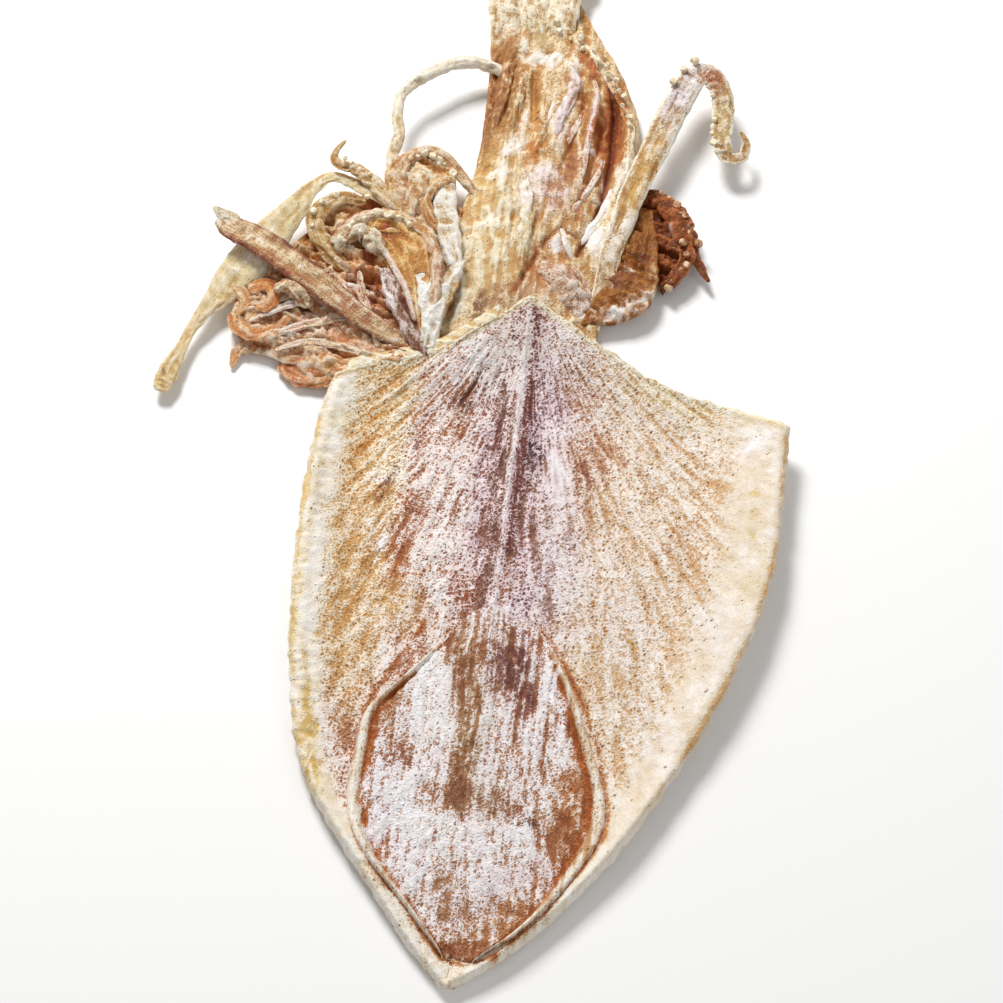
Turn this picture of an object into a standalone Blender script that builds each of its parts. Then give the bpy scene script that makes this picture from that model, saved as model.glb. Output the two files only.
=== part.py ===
"""A dried squid, split, opened flat and dried: a shield-shaped mantle with a raised rim,
the fins lying on its tail end, and the head and arms drawn out beyond its peaked front edge.

It lies on a table, skin side up, tail towards -Y. Sizes are in millimetres and become
metres as the vertices are placed. Positions on the squid are measured from the tail tip:
x to the right of the midline, y towards the head, z above the table.
"""

import math

import bmesh
import bpy
from mathutils import Vector, noise

MM = 0.001

# Where the tail tip stands, so that the origin is under the middle of the whole squid.
TAIL_X = 14.6
TAIL_Y = -178.2

# The mantle. Stations run from the tail, v = 0, to the front corner, v = 1.
SHEET_THICKNESS = 2.2
MANTLE_COLUMNS = 28
MANTLE_ROWS = 32
COLUMN_CROWDING = 0.55
RIGHT_HALF_WIDTH = (
    (0.0, 2.0), (0.045, 12.4), (0.13, 26.6), (0.27, 44.0),
    (0.49, 63.0), (0.70, 74.5), (0.85, 76.5), (1.0, 77.5),
)
LEFT_HALF_WIDTH = (
    (0.0, 2.0), (0.064, 12.8), (0.13, 22.5), (0.295, 44.0),
    (0.47, 52.6), (0.69, 56.6), (0.90, 56.8), (1.0, 54.4),
)
# How far the front edge is from the tail, across the sheet from u = -1 to u = 1.
FRONT_EDGE = (
    (-1.0, 171.5), (-0.76, 178.5), (-0.46, 183.5), (-0.167, 194.8), (0.0, 201.0),
    (0.18, 193.6), (0.48, 181.5), (0.72, 175.5), (1.0, 166.0),
)

# The raised rim of each side: its height, where it starts and ends rising across the
# sheet, and how much of it there is from the tail to the front.
RIGHT_RIM_LIFT = 9.5
RIGHT_RIM_ACROSS = (0.66, 1.02)
RIGHT_RIM_ALONG = ((0.0, 0.1), (0.3, 0.45), (0.6, 0.95), (0.85, 1.0), (1.0, 0.85))
LEFT_RIM_LIFT = 6.5
LEFT_RIM_ACROSS = (0.70, 1.0)
LEFT_RIM_ALONG = ((0.0, 0.15), (0.3, 0.5), (0.6, 1.0), (0.85, 0.9), (1.0, 0.5))
# The front edge stands off the table, highest at its peak over the head.
PEAK_LIFT = 8.0
PEAK_START = 0.84
PEAK_SPREAD = 30.0
FRONT_LIFT = 1.6
FRONT_START = 0.90
# Slow waves over the sides, and how far the sheet is pressed onto the table.
WAVE_HEIGHT = 0.9
WAVE_LENGTH = 34.0
WAVES_ALONG = 5.0
WAVE_ACROSS = (0.3, 0.8)
PRESSED = 0.3
# The pen's ridge, the grooves beside it, and the lip around the tail.
PEN_RIDGE = 1.6
PEN_WIDTH = 3.0
PEN_START = (0.22, 0.42)
GROOVE_DEPTH = 0.6
GROOVE_OFFSET = 7.0
GROOVE_WIDTH = 3.0
GROOVE_START = (0.4, 0.6)
TAIL_LIP = 2.6
TAIL_LIP_INSET = 1.5
TAIL_LIP_WIDTH = 2.4
TAIL_LIP_END = (0.42, 0.25)
EDGE_SLANT = 0.72

# The fins, folded together into one leaf. Stations are positions u on the mantle.
FIN_THICKNESS = 1.1
FIN_COLUMNS = 12
FIN_ROWS = 16
FIN_TAIL = 0.035
FIN_TOP = 0.52
FIN_LEFT = (
    (0.03, -0.20), (0.07, -0.52), (0.115, -0.72), (0.165, -0.86), (0.225, -0.84),
    (0.325, -0.69), (0.395, -0.60), (0.45, -0.38), (0.52, -0.10),
)
FIN_RIGHT = (
    (0.03, 0.55), (0.08, 0.84), (0.20, 0.87), (0.275, 0.80),
    (0.375, 0.56), (0.465, 0.35), (0.52, 0.18),
)
FIN_RIM = 1.5
FIN_RIM_WIDTH = 0.14
FIN_SINK = 1.2
FIN_RISE = 0.15

# The head and the arms that dried onto it, a flattened column in front of the mantle.
HEAD_NECK_Y = 178.0
HEAD_END_Y = 322.0
HEAD_COLUMNS = 16
HEAD_ROWS = 24
HEAD_HEIGHT = 7.2
HEAD_EDGE = 2.0
HEAD_EDGE_LIFT = 1.4
HEAD_SQUARENESS = 2.6
HEAD_ROUNDNESS = 0.7
HEAD_LEFT = (
    (178.0, -27.0), (204.0, -28.5), (230.0, -26.0), (255.0, -22.0),
    (275.0, -21.5), (299.0, -23.4), (322.0, -25.5),
)
HEAD_RIGHT = (
    (178.0, 21.0), (208.0, 21.3), (234.0, 25.0), (261.0, 27.5),
    (276.0, 26.3), (296.0, 18.4), (311.0, 9.5), (322.0, 4.0),
)
HEAD_CROWN = (
    (178.0, 0.25), (195.0, 0.45), (207.0, 0.75), (230.0, 1.0),
    (265.0, 1.0), (300.0, 0.8), (322.0, 0.35),
)
# Folds along the head: height, half width, and the line that the crest follows.
HEAD_FOLDS = (
    (1.8, 2.6, ((3.3, 286.6), (6.2, 278.9), (4.1, 264.9), (-0.7, 254.6), (-3.1, 248.6))),
    (2.0, 2.4, ((12.2, 285.6), (13.7, 275.8), (13.0, 256.1), (11.6, 240.8), (9.1, 232.0))),
    (2.2, 2.6, ((3.5, 300.9), (15.7, 288.0), (21.2, 278.6), (24.8, 265.2), (23.6, 238.4))),
    (2.4, 2.4, ((27.8, 254.0), (23.5, 232.8), (20.1, 219.6), (17.0, 202.0))),
    (1.6, 3.0, ((-9.6, 289.2), (-13.0, 268.8), (-13.4, 253.2), (-12.9, 234.3))),
    (1.8, 3.0, ((0.0, 241.4), (-2.9, 220.6), (-7.4, 198.6))),
    (2.0, 4.2, ((-22.0, 322.0), (-20.1, 312.9), (-14.7, 290.0))),
)

# Arms and tentacles: the route of the middle line as points (x, y, z), half widths read
# evenly along it, and the ratio of thickness to width.
LIMB_SIDES = 8
RINGS_PER_MM = 0.16
LEAST_RINGS = 6
LIMB_CLEARANCE = 0.4
LIMBS = {
    "tentacle_left": (
        ((-30, 222, 4), (-44, 231, 8), (-56, 236.5, 9), (-64, 239, 9.5), (-70, 234, 10), (-75.5, 224.5, 9),
         (-82.5, 212.5, 7), (-89.5, 200.8, 5.5), (-96, 189.3, 5), (-100, 178.3, 4.2),
         (-103.2, 167, 4), (-103.5, 161.5, 3.6)),
        (1.6, 2.2, 2.0, 1.8, 2.4, 3.8, 5.0, 4.6, 2.2, 1.6, 3.0, 2.2), 0.5,
    ),
    "arm_flat": (
        ((-29, 185, 3), (-41, 187, 7), (-51, 191.5, 9.5), (-59, 196.5, 11), (-68, 202.3, 12),
         (-76.5, 207.8, 12), (-84, 212.4, 12), (-90.6, 215.2, 12), (-96, 218.6, 12)),
        (2.4, 3.0, 3.2, 3.6, 3.8, 3.8, 3.6, 2.8, 0.7), 0.5,
    ),
    "arm_strand_top": (
        ((-32, 192, 4), (-44, 190, 6.5), (-57, 193, 7), (-67, 197.5, 7), (-74, 199.5, 7),
         (-80, 196, 6.5), (-81, 189.5, 6), (-76.5, 185.5, 5.5), (-71.5, 188, 5.5)),
        (2.0, 3.0, 2.8, 2.6, 2.4, 2.2, 2.0, 1.7, 0.8), 0.8,
    ),
    "arm_strand_middle": (
        ((-30, 182, 3), (-42, 184, 5.5), (-57, 186, 6), (-68, 189, 6), (-77, 187.5, 5.5), (-86, 190.5, 5)),
        (2.2, 3.4, 3.2, 3.0, 2.4, 0.9), 0.8,
    ),
    "arm_strand_low": (
        ((-36, 181, 3), (-48, 178.5, 4.2), (-60, 178, 4.2), (-72, 180.5, 4), (-80, 181, 3.6),
         (-84.5, 178, 3), (-85.2, 173.2, 2.4)),
        (2.0, 3.0, 3.0, 2.8, 2.2, 1.3, 0.5), 0.75,
    ),
    "arm_stub": (
        ((-44, 179, 2.6), (-55, 174.5, 3.6), (-64, 172, 3.4), (-71, 177, 3)),
        (2.4, 3.2, 3.2, 1.6), 0.75,
    ),
    "arm_arched": (
        ((-27, 186, 4), (-28, 197, 9), (-28.4, 206, 10.5), (-30.2, 214, 11), (-34.5, 221, 11),
         (-41, 225, 11), (-48.5, 226, 10.8), (-56, 222.5, 10.2), (-60.5, 216.5, 9)),
        (2.0, 2.6, 2.8, 2.8, 2.8, 2.8, 3.0, 3.2, 1.8), 0.65,
    ),
    "arm_looped": (
        ((-25, 231, 4), (-36, 232, 8), (-43, 237.5, 10), (-43.5, 246, 11), (-38, 251, 11),
         (-32, 250, 10), (-26.5, 245.5, 8), (-20, 240, 5)),
        (1.6, 2.4, 2.2, 2.0, 2.0, 2.2, 2.0, 1.6), 0.8,
    ),
    "arm_hooked": (
        ((-32, 226, 4), (-44, 231, 9), (-52.5, 238, 10), (-58, 241.8, 11), (-63, 242.2, 12),
         (-65, 246, 12), (-62, 251, 13)),
        (1.8, 2.4, 2.2, 1.9, 1.6, 1.1, 0.5), 0.7,
    ),
    "tentacle_pale": (
        ((-38, 224, 4), (-45.5, 236, 8), (-47.5, 248, 9.5), (-46.8, 257, 10), (-48.5, 266, 10.5),
         (-46.8, 274.5, 10.5), (-39.5, 282.3, 10.5), (-30.5, 288.2, 9.5), (-21, 289, 7), (-12, 286, 4)),
        (1.5, 1.9, 1.9, 1.8, 1.7, 1.9, 2.1, 2.2, 1.9, 1.4), 0.75,
    ),
    "arm_right": (
        ((18, 196, 3), (20.5, 210, 6), (22.8, 225, 8), (26.3, 241, 9.5), (30.3, 255, 10),
         (35, 270.5, 11), (40, 284, 12), (45, 290, 12), (50, 286, 11.2), (52, 276, 9.5),
         (52.2, 267, 8.8), (54, 261, 8.3), (58.5, 261.5, 8), (60, 266.5, 8.5), (57.5, 271, 9)),
        (2.2, 2.8, 3.2, 3.6, 4.0, 4.3, 4.1, 3.4, 2.9, 2.8, 2.5, 1.9, 1.5, 1.2, 0.6), 0.6,
    ),
    "arm_curled": (
        ((24, 245, 3), (33, 245.5, 5), (39.5, 239.5, 5.5), (43.8, 232.8, 5.2), (46, 227, 4.8),
         (49.5, 221, 4.2), (52, 217, 4)),
        (2.0, 3.0, 3.4, 3.2, 2.0, 1.1, 0.5), 0.75,
    ),
    "arm_end_left": (
        ((-18, 296, 3), (-20, 313, 6.5), (-22, 330, 5.5), (-26.5, 344, 4), (-33.5, 352, 3)),
        (2.6, 5.4, 4.4, 2.6, 0.8), 0.55,
    ),
    "arm_end_middle": (
        ((-10, 296, 3), (-10.5, 314, 7), (-9, 333, 6), (-10.5, 348, 4.6), (-15.5, 356, 3.4)),
        (2.4, 4.6, 4.0, 2.4, 0.7), 0.6,
    ),
    "arm_end_right": (
        ((-1, 294, 3), (-1.6, 311, 7), (1.5, 327, 6), (8.5, 339, 4.6), (17, 343, 3.4)),
        (2.4, 5.0, 4.0, 2.4, 0.7), 0.6,
    ),
}

# Webs of skin and flesh between the arms: two facing edges of points (x, y, z on top), the
# thickness, and how much the middle swells.
WEB_COLUMNS = 7
WEB_ROWS = 5
WEBS = {
    "web_left": (
        ((-30, 177, 4.2), (-45, 172.5, 4.2), (-60, 172, 4), (-68, 176, 3.8), (-78, 179.5, 3.4),
         (-88, 186, 2.8)),
        ((-24, 234, 6), (-37, 241, 7.5), (-50, 238, 7.5), (-61, 231.5, 7), (-72, 218, 6),
         (-88, 199, 4)),
        2.6, 1.2,
    ),
    "web_arch": (
        ((-28, 187, 7), (-28.6, 206, 10), (-34.5, 220, 10.5), (-48, 225, 10.3), (-57, 220, 9.5)),
        ((-34.9, 186.6, 6.5), (-42, 200, 8), (-44.5, 210, 8.5), (-49, 216, 8.8), (-55.5, 217.6, 9)),
        1.8, 0.8,
    ),
    "web_grey": (
        ((-46.5, 208.5, 8.5), (-42.2, 197, 8.5), (-33, 182, 7.5)),
        ((-41.5, 208, 9.5), (-34, 194, 9), (-27.6, 180, 7.9)),
        1.8, 0.6,
    ),
    "web_collar": (
        ((-33, 203, 10), (-29.5, 191.5, 9.5), (-28.8, 182.5, 8.2)),
        ((-20.5, 213, 9.5), (-22.5, 200, 9), (-25, 183, 7.6)),
        2.0, 0.5,
    ),
    "web_right": (
        ((15, 197, 5), (19, 210, 6), (23, 227, 6.5), (27, 242, 6.5)),
        ((25, 199, 4.8), (34.5, 205, 6), (36.6, 218, 6.5), (33, 241, 6)),
        1.8, 0.8,
    ),
    "web_far_right": (
        ((27, 248, 3.5), (38, 242, 4.6), (44, 233, 4.8), (44.5, 224, 4.2)),
        ((28, 234, 4), (33, 226, 4.4), (36, 218, 4), (38.5, 212, 3.4)),
        2.0, 0.6,
    ),
}

# Suckers: rows of knobs along a limb, as (limb, start, end, count, hand, radius), and
# knobs on the head's upper right edge.
SUCKER_INSET = 0.8
SUCKER_RISE = 0.7
SUCKER_ROWS = (
    ("arm_right", 0.42, 0.50, 3, -1, 1.5),
    ("arm_right", 0.68, 0.90, 5, 1, 1.0),
    ("arm_arched", 0.42, 0.95, 8, 1, 1.5),
    ("arm_looped", 0.30, 0.85, 7, -1, 1.4),
    ("arm_curled", 0.15, 0.75, 8, 1, 1.5),
    ("arm_end_right", 0.25, 0.85, 6, 1, 1.3),
)
HEAD_SUCKER_LINE = ((-4.0, 309.0), (6.0, 301.0), (14.0, 291.0), (21.0, 280.0), (25.0, 268.5))
HEAD_SUCKERS = 12
HEAD_SUCKER_RADIUS = 1.6
HEAD_SUCKER_ZIGZAG = 1.4

FLESH_COLOUR = (0.72, 0.52, 0.34, 1.0)
FLESH_ROUGHNESS = 0.62
SHARP_ANGLE = 50.0

UNION_SOLVER = "EXACT"
FLAT_ANGLE = 0.002


def curve(stations, t):
    """Smooth value at t through (t, value) stations."""
    last = len(stations) - 1
    i = 0
    while i < last - 1 and t > stations[i + 1][0]:
        i += 1
    (t0, a), (t1, b) = stations[i], stations[i + 1]
    before, after = stations[max(i - 1, 0)], stations[min(i + 2, last)]
    span = t1 - t0
    slope_a = (b - before[1]) / (t1 - before[0]) * span
    slope_b = (after[1] - a) / (after[0] - t0) * span
    s = min(max((t - t0) / span, 0.0), 1.0)
    return (a * (2 * s**3 - 3 * s**2 + 1) + slope_a * (s**3 - 2 * s**2 + s)
            + b * (3 * s**2 - 2 * s**3) + slope_b * (s**3 - s**2))


def ease(low, high, value):
    """0 below low, 1 above high, smooth between."""
    s = min(max((value - low) / (high - low), 0.0), 1.0)
    return s * s * (3.0 - 2.0 * s)


def evenly(values, t):
    """Smooth value at t, 0 to 1, through values spaced evenly."""
    last = len(values) - 1
    return curve([(i / last, value) for i, value in enumerate(values)], t)


def route_point(route, t):
    return Vector([evenly([point[axis] for point in route], t) for axis in range(3)])


def distance_to_line(x, y, line):
    """How far (x, y) is from a line of straight runs."""
    best = math.inf
    here = Vector((x, y))
    for a, b in zip(line, line[1:]):
        start, run = Vector(a), Vector(b) - Vector(a)
        s = min(max((here - start).dot(run) / run.length_squared, 0.0), 1.0)
        best = min(best, (here - start - run * s).length)
    return best


def place(x, y, z):
    """A point of the squid, in metres in the world."""
    return Vector(((x + TAIL_X) * MM, (y + TAIL_Y) * MM, z * MM))


def mantle_half_width(u, v):
    return curve(RIGHT_HALF_WIDTH if u > 0 else LEFT_HALF_WIDTH, v)


def mantle_lift(u, v):
    """Height of the sheet's underside: flat in the middle, raised at rim, tail and peak."""
    x = u * mantle_half_width(u, v)
    if u > 0:
        rim = RIGHT_RIM_LIFT * ease(*RIGHT_RIM_ACROSS, u) * curve(RIGHT_RIM_ALONG, v)
    else:
        rim = LEFT_RIM_LIFT * ease(*LEFT_RIM_ACROSS, -u) * curve(LEFT_RIM_ALONG, v)
    peak = PEAK_LIFT * ease(PEAK_START, 1.0, v) * math.exp(-(x / PEAK_SPREAD) ** 2)
    front = FRONT_LIFT * ease(FRONT_START, 1.0, v)
    wave = WAVE_HEIGHT * noise.noise(Vector((x / WAVE_LENGTH, v * WAVES_ALONG, 3.7)))
    wave *= ease(*WAVE_ACROSS, abs(u))
    return max(0.0, rim + peak + front + wave - PRESSED)


def mantle_relief(u, v):
    """What stands on the sheet: the pen's ridge along the midline and the tail's lip."""
    width = mantle_half_width(u, v)
    x = u * width
    pen = PEN_RIDGE * math.exp(-(x / PEN_WIDTH) ** 2) * ease(*PEN_START, v)
    groove = -GROOVE_DEPTH * math.exp(-((abs(x) - GROOVE_OFFSET) / GROOVE_WIDTH) ** 2)
    groove *= ease(*GROOVE_START, v)
    from_edge = (1.0 - abs(u)) * width * EDGE_SLANT
    lip = TAIL_LIP * math.exp(-((from_edge - TAIL_LIP_INSET) / TAIL_LIP_WIDTH) ** 2)
    lip *= ease(*TAIL_LIP_END, v)
    return pen + groove + lip


def mantle_point(u, v):
    """x, y, underside z and top z of the mantle at u across and v along."""
    x = u * mantle_half_width(u, v)
    y = v * curve(FRONT_EDGE, u)
    low = mantle_lift(u, v)
    return x, y, low, low + SHEET_THICKNESS + mantle_relief(u, v)


def spread(fraction):
    """Columns from -1 to 1, closer together at the midline."""
    return fraction * (COLUMN_CROWDING + (1.0 - COLUMN_CROWDING) * fraction * fraction)


def sheet_solid(name, columns, rows, shape):
    """A closed sheet: shape(s, t) gives x, y, underside z and top z for s -1..1, t 0..1."""
    mesh = bmesh.new()
    bmesh.ops.create_grid(mesh, x_segments=columns, y_segments=rows, size=1.0)
    raised = bmesh.ops.extrude_face_region(mesh, geom=list(mesh.faces), use_keep_orig=True)
    top = {item for item in raised["geom"] if isinstance(item, bmesh.types.BMVert)}
    for vert in mesh.verts:
        x, y, low, high = shape(vert.co.x, vert.co.y * 0.5 + 0.5)
        vert.co = place(x, y, high if vert in top else low)
    return finished(name, mesh)


def finished(name, mesh):
    """Turn the faces outwards and make the bmesh an object in the scene."""
    bmesh.ops.recalc_face_normals(mesh, faces=mesh.faces)
    data = bpy.data.meshes.new(name)
    mesh.to_mesh(data)
    mesh.free()
    piece = bpy.data.objects.new(name, data)
    bpy.context.scene.collection.objects.link(piece)
    return piece


def build_mantle():
    def shape(s, t):
        return mantle_point(spread(s), t)

    return sheet_solid("mantle", MANTLE_COLUMNS, MANTLE_ROWS, shape)


def build_fins():
    """The fins' leaf, sunk into the mantle's skin side, its edge rolled up."""
    def shape(s, t):
        v = FIN_TAIL + (FIN_TOP - FIN_TAIL) * t
        u = curve(FIN_LEFT, v) * (1 - s) / 2 + curve(FIN_RIGHT, v) * (1 + s) / 2
        x, y, _, skin = mantle_point(u, v)
        rim = FIN_RIM * math.exp(-((1.0 - abs(s)) / FIN_RIM_WIDTH) ** 2) * ease(1.0, 0.8, t)
        top = skin + FIN_THICKNESS * ease(1.0, 0.85, t) + rim + FIN_RISE
        return x, y, skin - FIN_SINK, top

    return sheet_solid("fins", FIN_COLUMNS, FIN_ROWS, shape)


def head_point(s, t):
    """x, y, underside z and top z of the head, s across and t from the neck outwards."""
    y = HEAD_NECK_Y + (HEAD_END_Y - HEAD_NECK_Y) * t
    x = curve(HEAD_LEFT, y) * (1 - s) / 2 + curve(HEAD_RIGHT, y) * (1 + s) / 2
    bulge = (1.0 - abs(s) ** HEAD_SQUARENESS) ** HEAD_ROUNDNESS
    crown = HEAD_HEIGHT * curve(HEAD_CROWN, y) * bulge
    folds = 0.0
    for height, half_width, line in HEAD_FOLDS:
        folds += height * math.exp(-(distance_to_line(x, y, line) / half_width) ** 2)
    folds *= ease(0.08, 0.25, t) * ease(1.0, 0.9, abs(s))
    low = HEAD_EDGE_LIFT * ease(0.8, 1.0, abs(s))
    return x, y, low, HEAD_EDGE + low + crown + folds


def build_head():
    return sheet_solid("head", HEAD_COLUMNS, HEAD_ROWS, head_point)


def limb_frame(route, t):
    """Middle point of a limb at t, and its sideways and upward directions."""
    step = 0.01
    ahead = route_point(route, min(t + step, 1.0))
    behind = route_point(route, max(t - step, 0.0))
    side = (ahead - behind).cross(Vector((0.0, 0.0, 1.0))).normalized()
    up = side.cross(ahead - behind).normalized()
    return route_point(route, t), side, up


def build_limb(name, route, half_widths, flatness):
    """A limb: a grid rolled into a tube along the route, welded, and closed at both ends."""
    length = sum((Vector(b) - Vector(a)).length for a, b in zip(route, route[1:]))
    mesh = bmesh.new()
    rings = max(LEAST_RINGS, round(length * RINGS_PER_MM))
    bmesh.ops.create_grid(mesh, x_segments=LIMB_SIDES, y_segments=rings, size=1.0)
    for vert in mesh.verts:
        angle, t = math.pi * (vert.co.x + 1.0), vert.co.y * 0.5 + 0.5
        middle, side, up = limb_frame(route, t)
        half_width = evenly(half_widths, t)
        point = middle + side * (math.cos(angle) * half_width)
        point += up * (math.sin(angle) * half_width * flatness)
        vert.co = place(point.x, point.y, max(point.z, LIMB_CLEARANCE))
    bmesh.ops.remove_doubles(mesh, verts=mesh.verts, dist=1e-6)
    bmesh.ops.holes_fill(mesh, edges=[edge for edge in mesh.edges if edge.is_boundary], sides=0)
    return finished(name, mesh)


def build_web(name, near, far, thickness, swell):
    """A web of skin between two edges, its middle raised, no lower than the limbs."""
    def shape(s, t):
        along = s * 0.5 + 0.5
        point = route_point(near, along).lerp(route_point(far, along), t)
        top = point.z + swell * (1.0 - s * s) * math.sin(math.pi * t)
        return point.x, point.y, max(top - thickness, LIMB_CLEARANCE), top

    return sheet_solid(name, WEB_COLUMNS, WEB_ROWS, shape)


def build_sucker(name, centre, radius):
    mesh = bmesh.new()
    bmesh.ops.create_icosphere(mesh, subdivisions=1, radius=radius * MM)
    bmesh.ops.translate(mesh, verts=mesh.verts, vec=place(*centre))
    return finished(name, mesh)


def build_suckers():
    """Knobs along the arms' edges and along the head's upper right edge."""
    knobs = []
    for limb, start, end, count, hand, radius in SUCKER_ROWS:
        route, half_widths, flatness = LIMBS[limb]
        for index in range(count):
            t = start + (end - start) * index / (count - 1)
            middle, side, up = limb_frame(route, t)
            half_width = evenly(half_widths, t)
            centre = middle + side * (hand * half_width * SUCKER_INSET)
            centre += up * (half_width * flatness * SUCKER_RISE)
            knobs.append(build_sucker(f"{limb}_sucker_{index}", centre, radius))
    for index in range(HEAD_SUCKERS):
        place_along = index / (HEAD_SUCKERS - 1)
        x, y = (evenly([point[axis] for point in HEAD_SUCKER_LINE], place_along) for axis in (0, 1))
        left, right = curve(HEAD_LEFT, y), curve(HEAD_RIGHT, y)
        s = (2.0 * x - left - right) / (right - left)
        t = (y - HEAD_NECK_Y) / (HEAD_END_Y - HEAD_NECK_Y)
        top = head_point(min(s, 0.95), t)[3]
        x += HEAD_SUCKER_ZIGZAG * (-1) ** index
        knobs.append(build_sucker(f"head_sucker_{index}", (x, y, top), HEAD_SUCKER_RADIUS))
    return knobs


def fuse(base, others):
    """Join the pieces into one closed body by one Boolean union, then remove them."""
    fused = bpy.data.collections.new("fused")
    for piece in others:
        fused.objects.link(piece)
    union = base.modifiers.new("union", "BOOLEAN")
    union.operation = "UNION"
    union.operand_type = "COLLECTION"
    union.collection = fused
    union.solver = UNION_SOLVER
    bpy.context.view_layer.update()
    evaluated = base.evaluated_get(bpy.context.evaluated_depsgraph_get())
    joined = bpy.data.meshes.new_from_object(evaluated)
    base.modifiers.remove(union)
    base.data = joined
    for piece in others:
        bpy.data.objects.remove(piece)
    bpy.data.collections.remove(fused)
    drop_scraps(joined)


def drop_scraps(data):
    """Keep the largest body: faces that meet two to an edge. The rest are loose flaps."""
    mesh = bmesh.new()
    mesh.from_mesh(data)
    bmesh.ops.dissolve_limit(mesh, angle_limit=FLAT_ANGLE, verts=mesh.verts, edges=mesh.edges)
    bmesh.ops.triangulate(mesh, faces=mesh.faces)
    unseen, bodies = set(mesh.faces), []
    while unseen:
        body, waiting = set(), [unseen.pop()]
        while waiting:
            face = waiting.pop()
            body.add(face)
            for edge in face.edges:
                if len(edge.link_faces) == 2:
                    found = [other for other in edge.link_faces if other in unseen]
                    unseen.difference_update(found)
                    waiting.extend(found)
        bodies.append(body)
    whole = max(bodies, key=len)
    scraps = [face for face in mesh.faces if face not in whole]
    bmesh.ops.delete(mesh, geom=scraps, context="FACES")
    mesh.to_mesh(data)
    mesh.free()


def flesh_material():
    material = bpy.data.materials.new("dried_flesh")
    material.use_nodes = True
    shader = material.node_tree.nodes["Principled BSDF"]
    shader.inputs["Base Color"].default_value = FLESH_COLOUR
    shader.inputs["Roughness"].default_value = FLESH_ROUGHNESS
    shader.inputs["Metallic"].default_value = 0.0
    material.diffuse_color = FLESH_COLOUR
    return material


def build_squid():
    squid = build_mantle()
    others = [build_fins(), build_head()]
    others += [build_limb(name, *sizes) for name, sizes in LIMBS.items()]
    others += [build_web(name, *sizes) for name, sizes in WEBS.items()]
    others += build_suckers()
    fuse(squid, others)
    squid.name = squid.data.name = "dried_squid"
    squid.data.materials.append(flesh_material())
    squid.data.shade_smooth()
    squid.data.set_sharp_from_angle(angle=math.radians(SHARP_ANGLE))
    return squid


for leftover in list(bpy.data.objects):
    bpy.data.objects.remove(leftover)
build_squid()
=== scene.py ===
"""A dried squid lying flat with its skin side up: the opened mantle, the fins' leaf, the head
with its folded arms, and the two bundles of arms and tentacles that dried beside it.

Sizes are in millimetres, measured from the tail tip: x to the right of the midline, y towards
the head, z above the floor. They become metres as each mesh is placed.
"""
import math

import bmesh
import bpy
import numpy as np
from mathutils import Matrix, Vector


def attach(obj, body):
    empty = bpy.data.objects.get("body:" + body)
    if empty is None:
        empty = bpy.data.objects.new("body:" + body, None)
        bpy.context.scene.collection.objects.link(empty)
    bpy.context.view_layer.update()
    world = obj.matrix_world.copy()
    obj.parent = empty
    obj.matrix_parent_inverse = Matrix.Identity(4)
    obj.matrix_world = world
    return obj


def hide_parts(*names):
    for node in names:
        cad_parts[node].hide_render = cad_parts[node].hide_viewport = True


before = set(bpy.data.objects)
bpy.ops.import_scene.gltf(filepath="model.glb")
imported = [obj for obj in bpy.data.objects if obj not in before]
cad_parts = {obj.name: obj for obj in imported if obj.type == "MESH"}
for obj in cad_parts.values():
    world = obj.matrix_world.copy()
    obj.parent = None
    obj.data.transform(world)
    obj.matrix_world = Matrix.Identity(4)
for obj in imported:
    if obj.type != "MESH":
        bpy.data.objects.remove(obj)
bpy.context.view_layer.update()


# ------------------------------------------------------------------------------------------
# The mantle. The squid's body wall, slit along the belly, opened flat and air dried: a leathery
# sheet 2.2 mm thick, pressed on the floor, with a raised rim, the pen's ridge down its middle and
# a white bloom that dried out on the high places, over stained grooves, darker in their hollows as painted
# shade, and dark skin specks.
# ------------------------------------------------------------------------------------------

MM = 0.001
TAIL_X = 14.6
TAIL_Y = -178.2

SHEET_THICKNESS = 2.2
EDGE_RADIUS = 1.2
MANTLE_COLUMNS = 250
MANTLE_ROWS = 330
COLUMN_CROWDING = 0.85
RIGHT_HALF_WIDTH = ((0, 2), (0.045, 12.4), (0.13, 26.6), (0.27, 44), (0.49, 63), (0.7, 74.5), (0.85, 76.5),
                    (1, 77.5))
LEFT_HALF_WIDTH = ((0, 2), (0.064, 12.8), (0.13, 22.5), (0.295, 44), (0.47, 52.6), (0.69, 56.6),
                   (0.9, 56.8), (1, 54.4))
FRONT_EDGE = ((-1, 171.5), (-0.76, 178.5), (-0.46, 183.5), (-0.167, 194.8), (0, 201), (0.18, 193.6),
              (0.48, 181.5), (0.72, 175.5), (1, 166))
RIGHT_RIM_LIFT = 9.5
RIGHT_RIM_ALONG = ((0, 0.1), (0.3, 0.45), (0.6, 0.95), (0.85, 1), (1, 0.85))
LEFT_RIM_LIFT = 6.5
LEFT_RIM_ALONG = ((0, 0.15), (0.3, 0.5), (0.6, 1), (0.85, 0.9), (1, 0.5))
PEAK_LIFT = 8.0
FRONT_LIFT = 1.6
PEN_HEIGHT = 1.6
TAIL_LIP_HEIGHT = 2.6
SIDE_SLANT = 0.72
FRONT_SLANT = 0.84
FAN_CENTRE_Y = 204.0
FAN_RADIUS = 60.0
RIDGE_HEIGHT = 0.6
NOISE_LATTICE = 256


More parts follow.
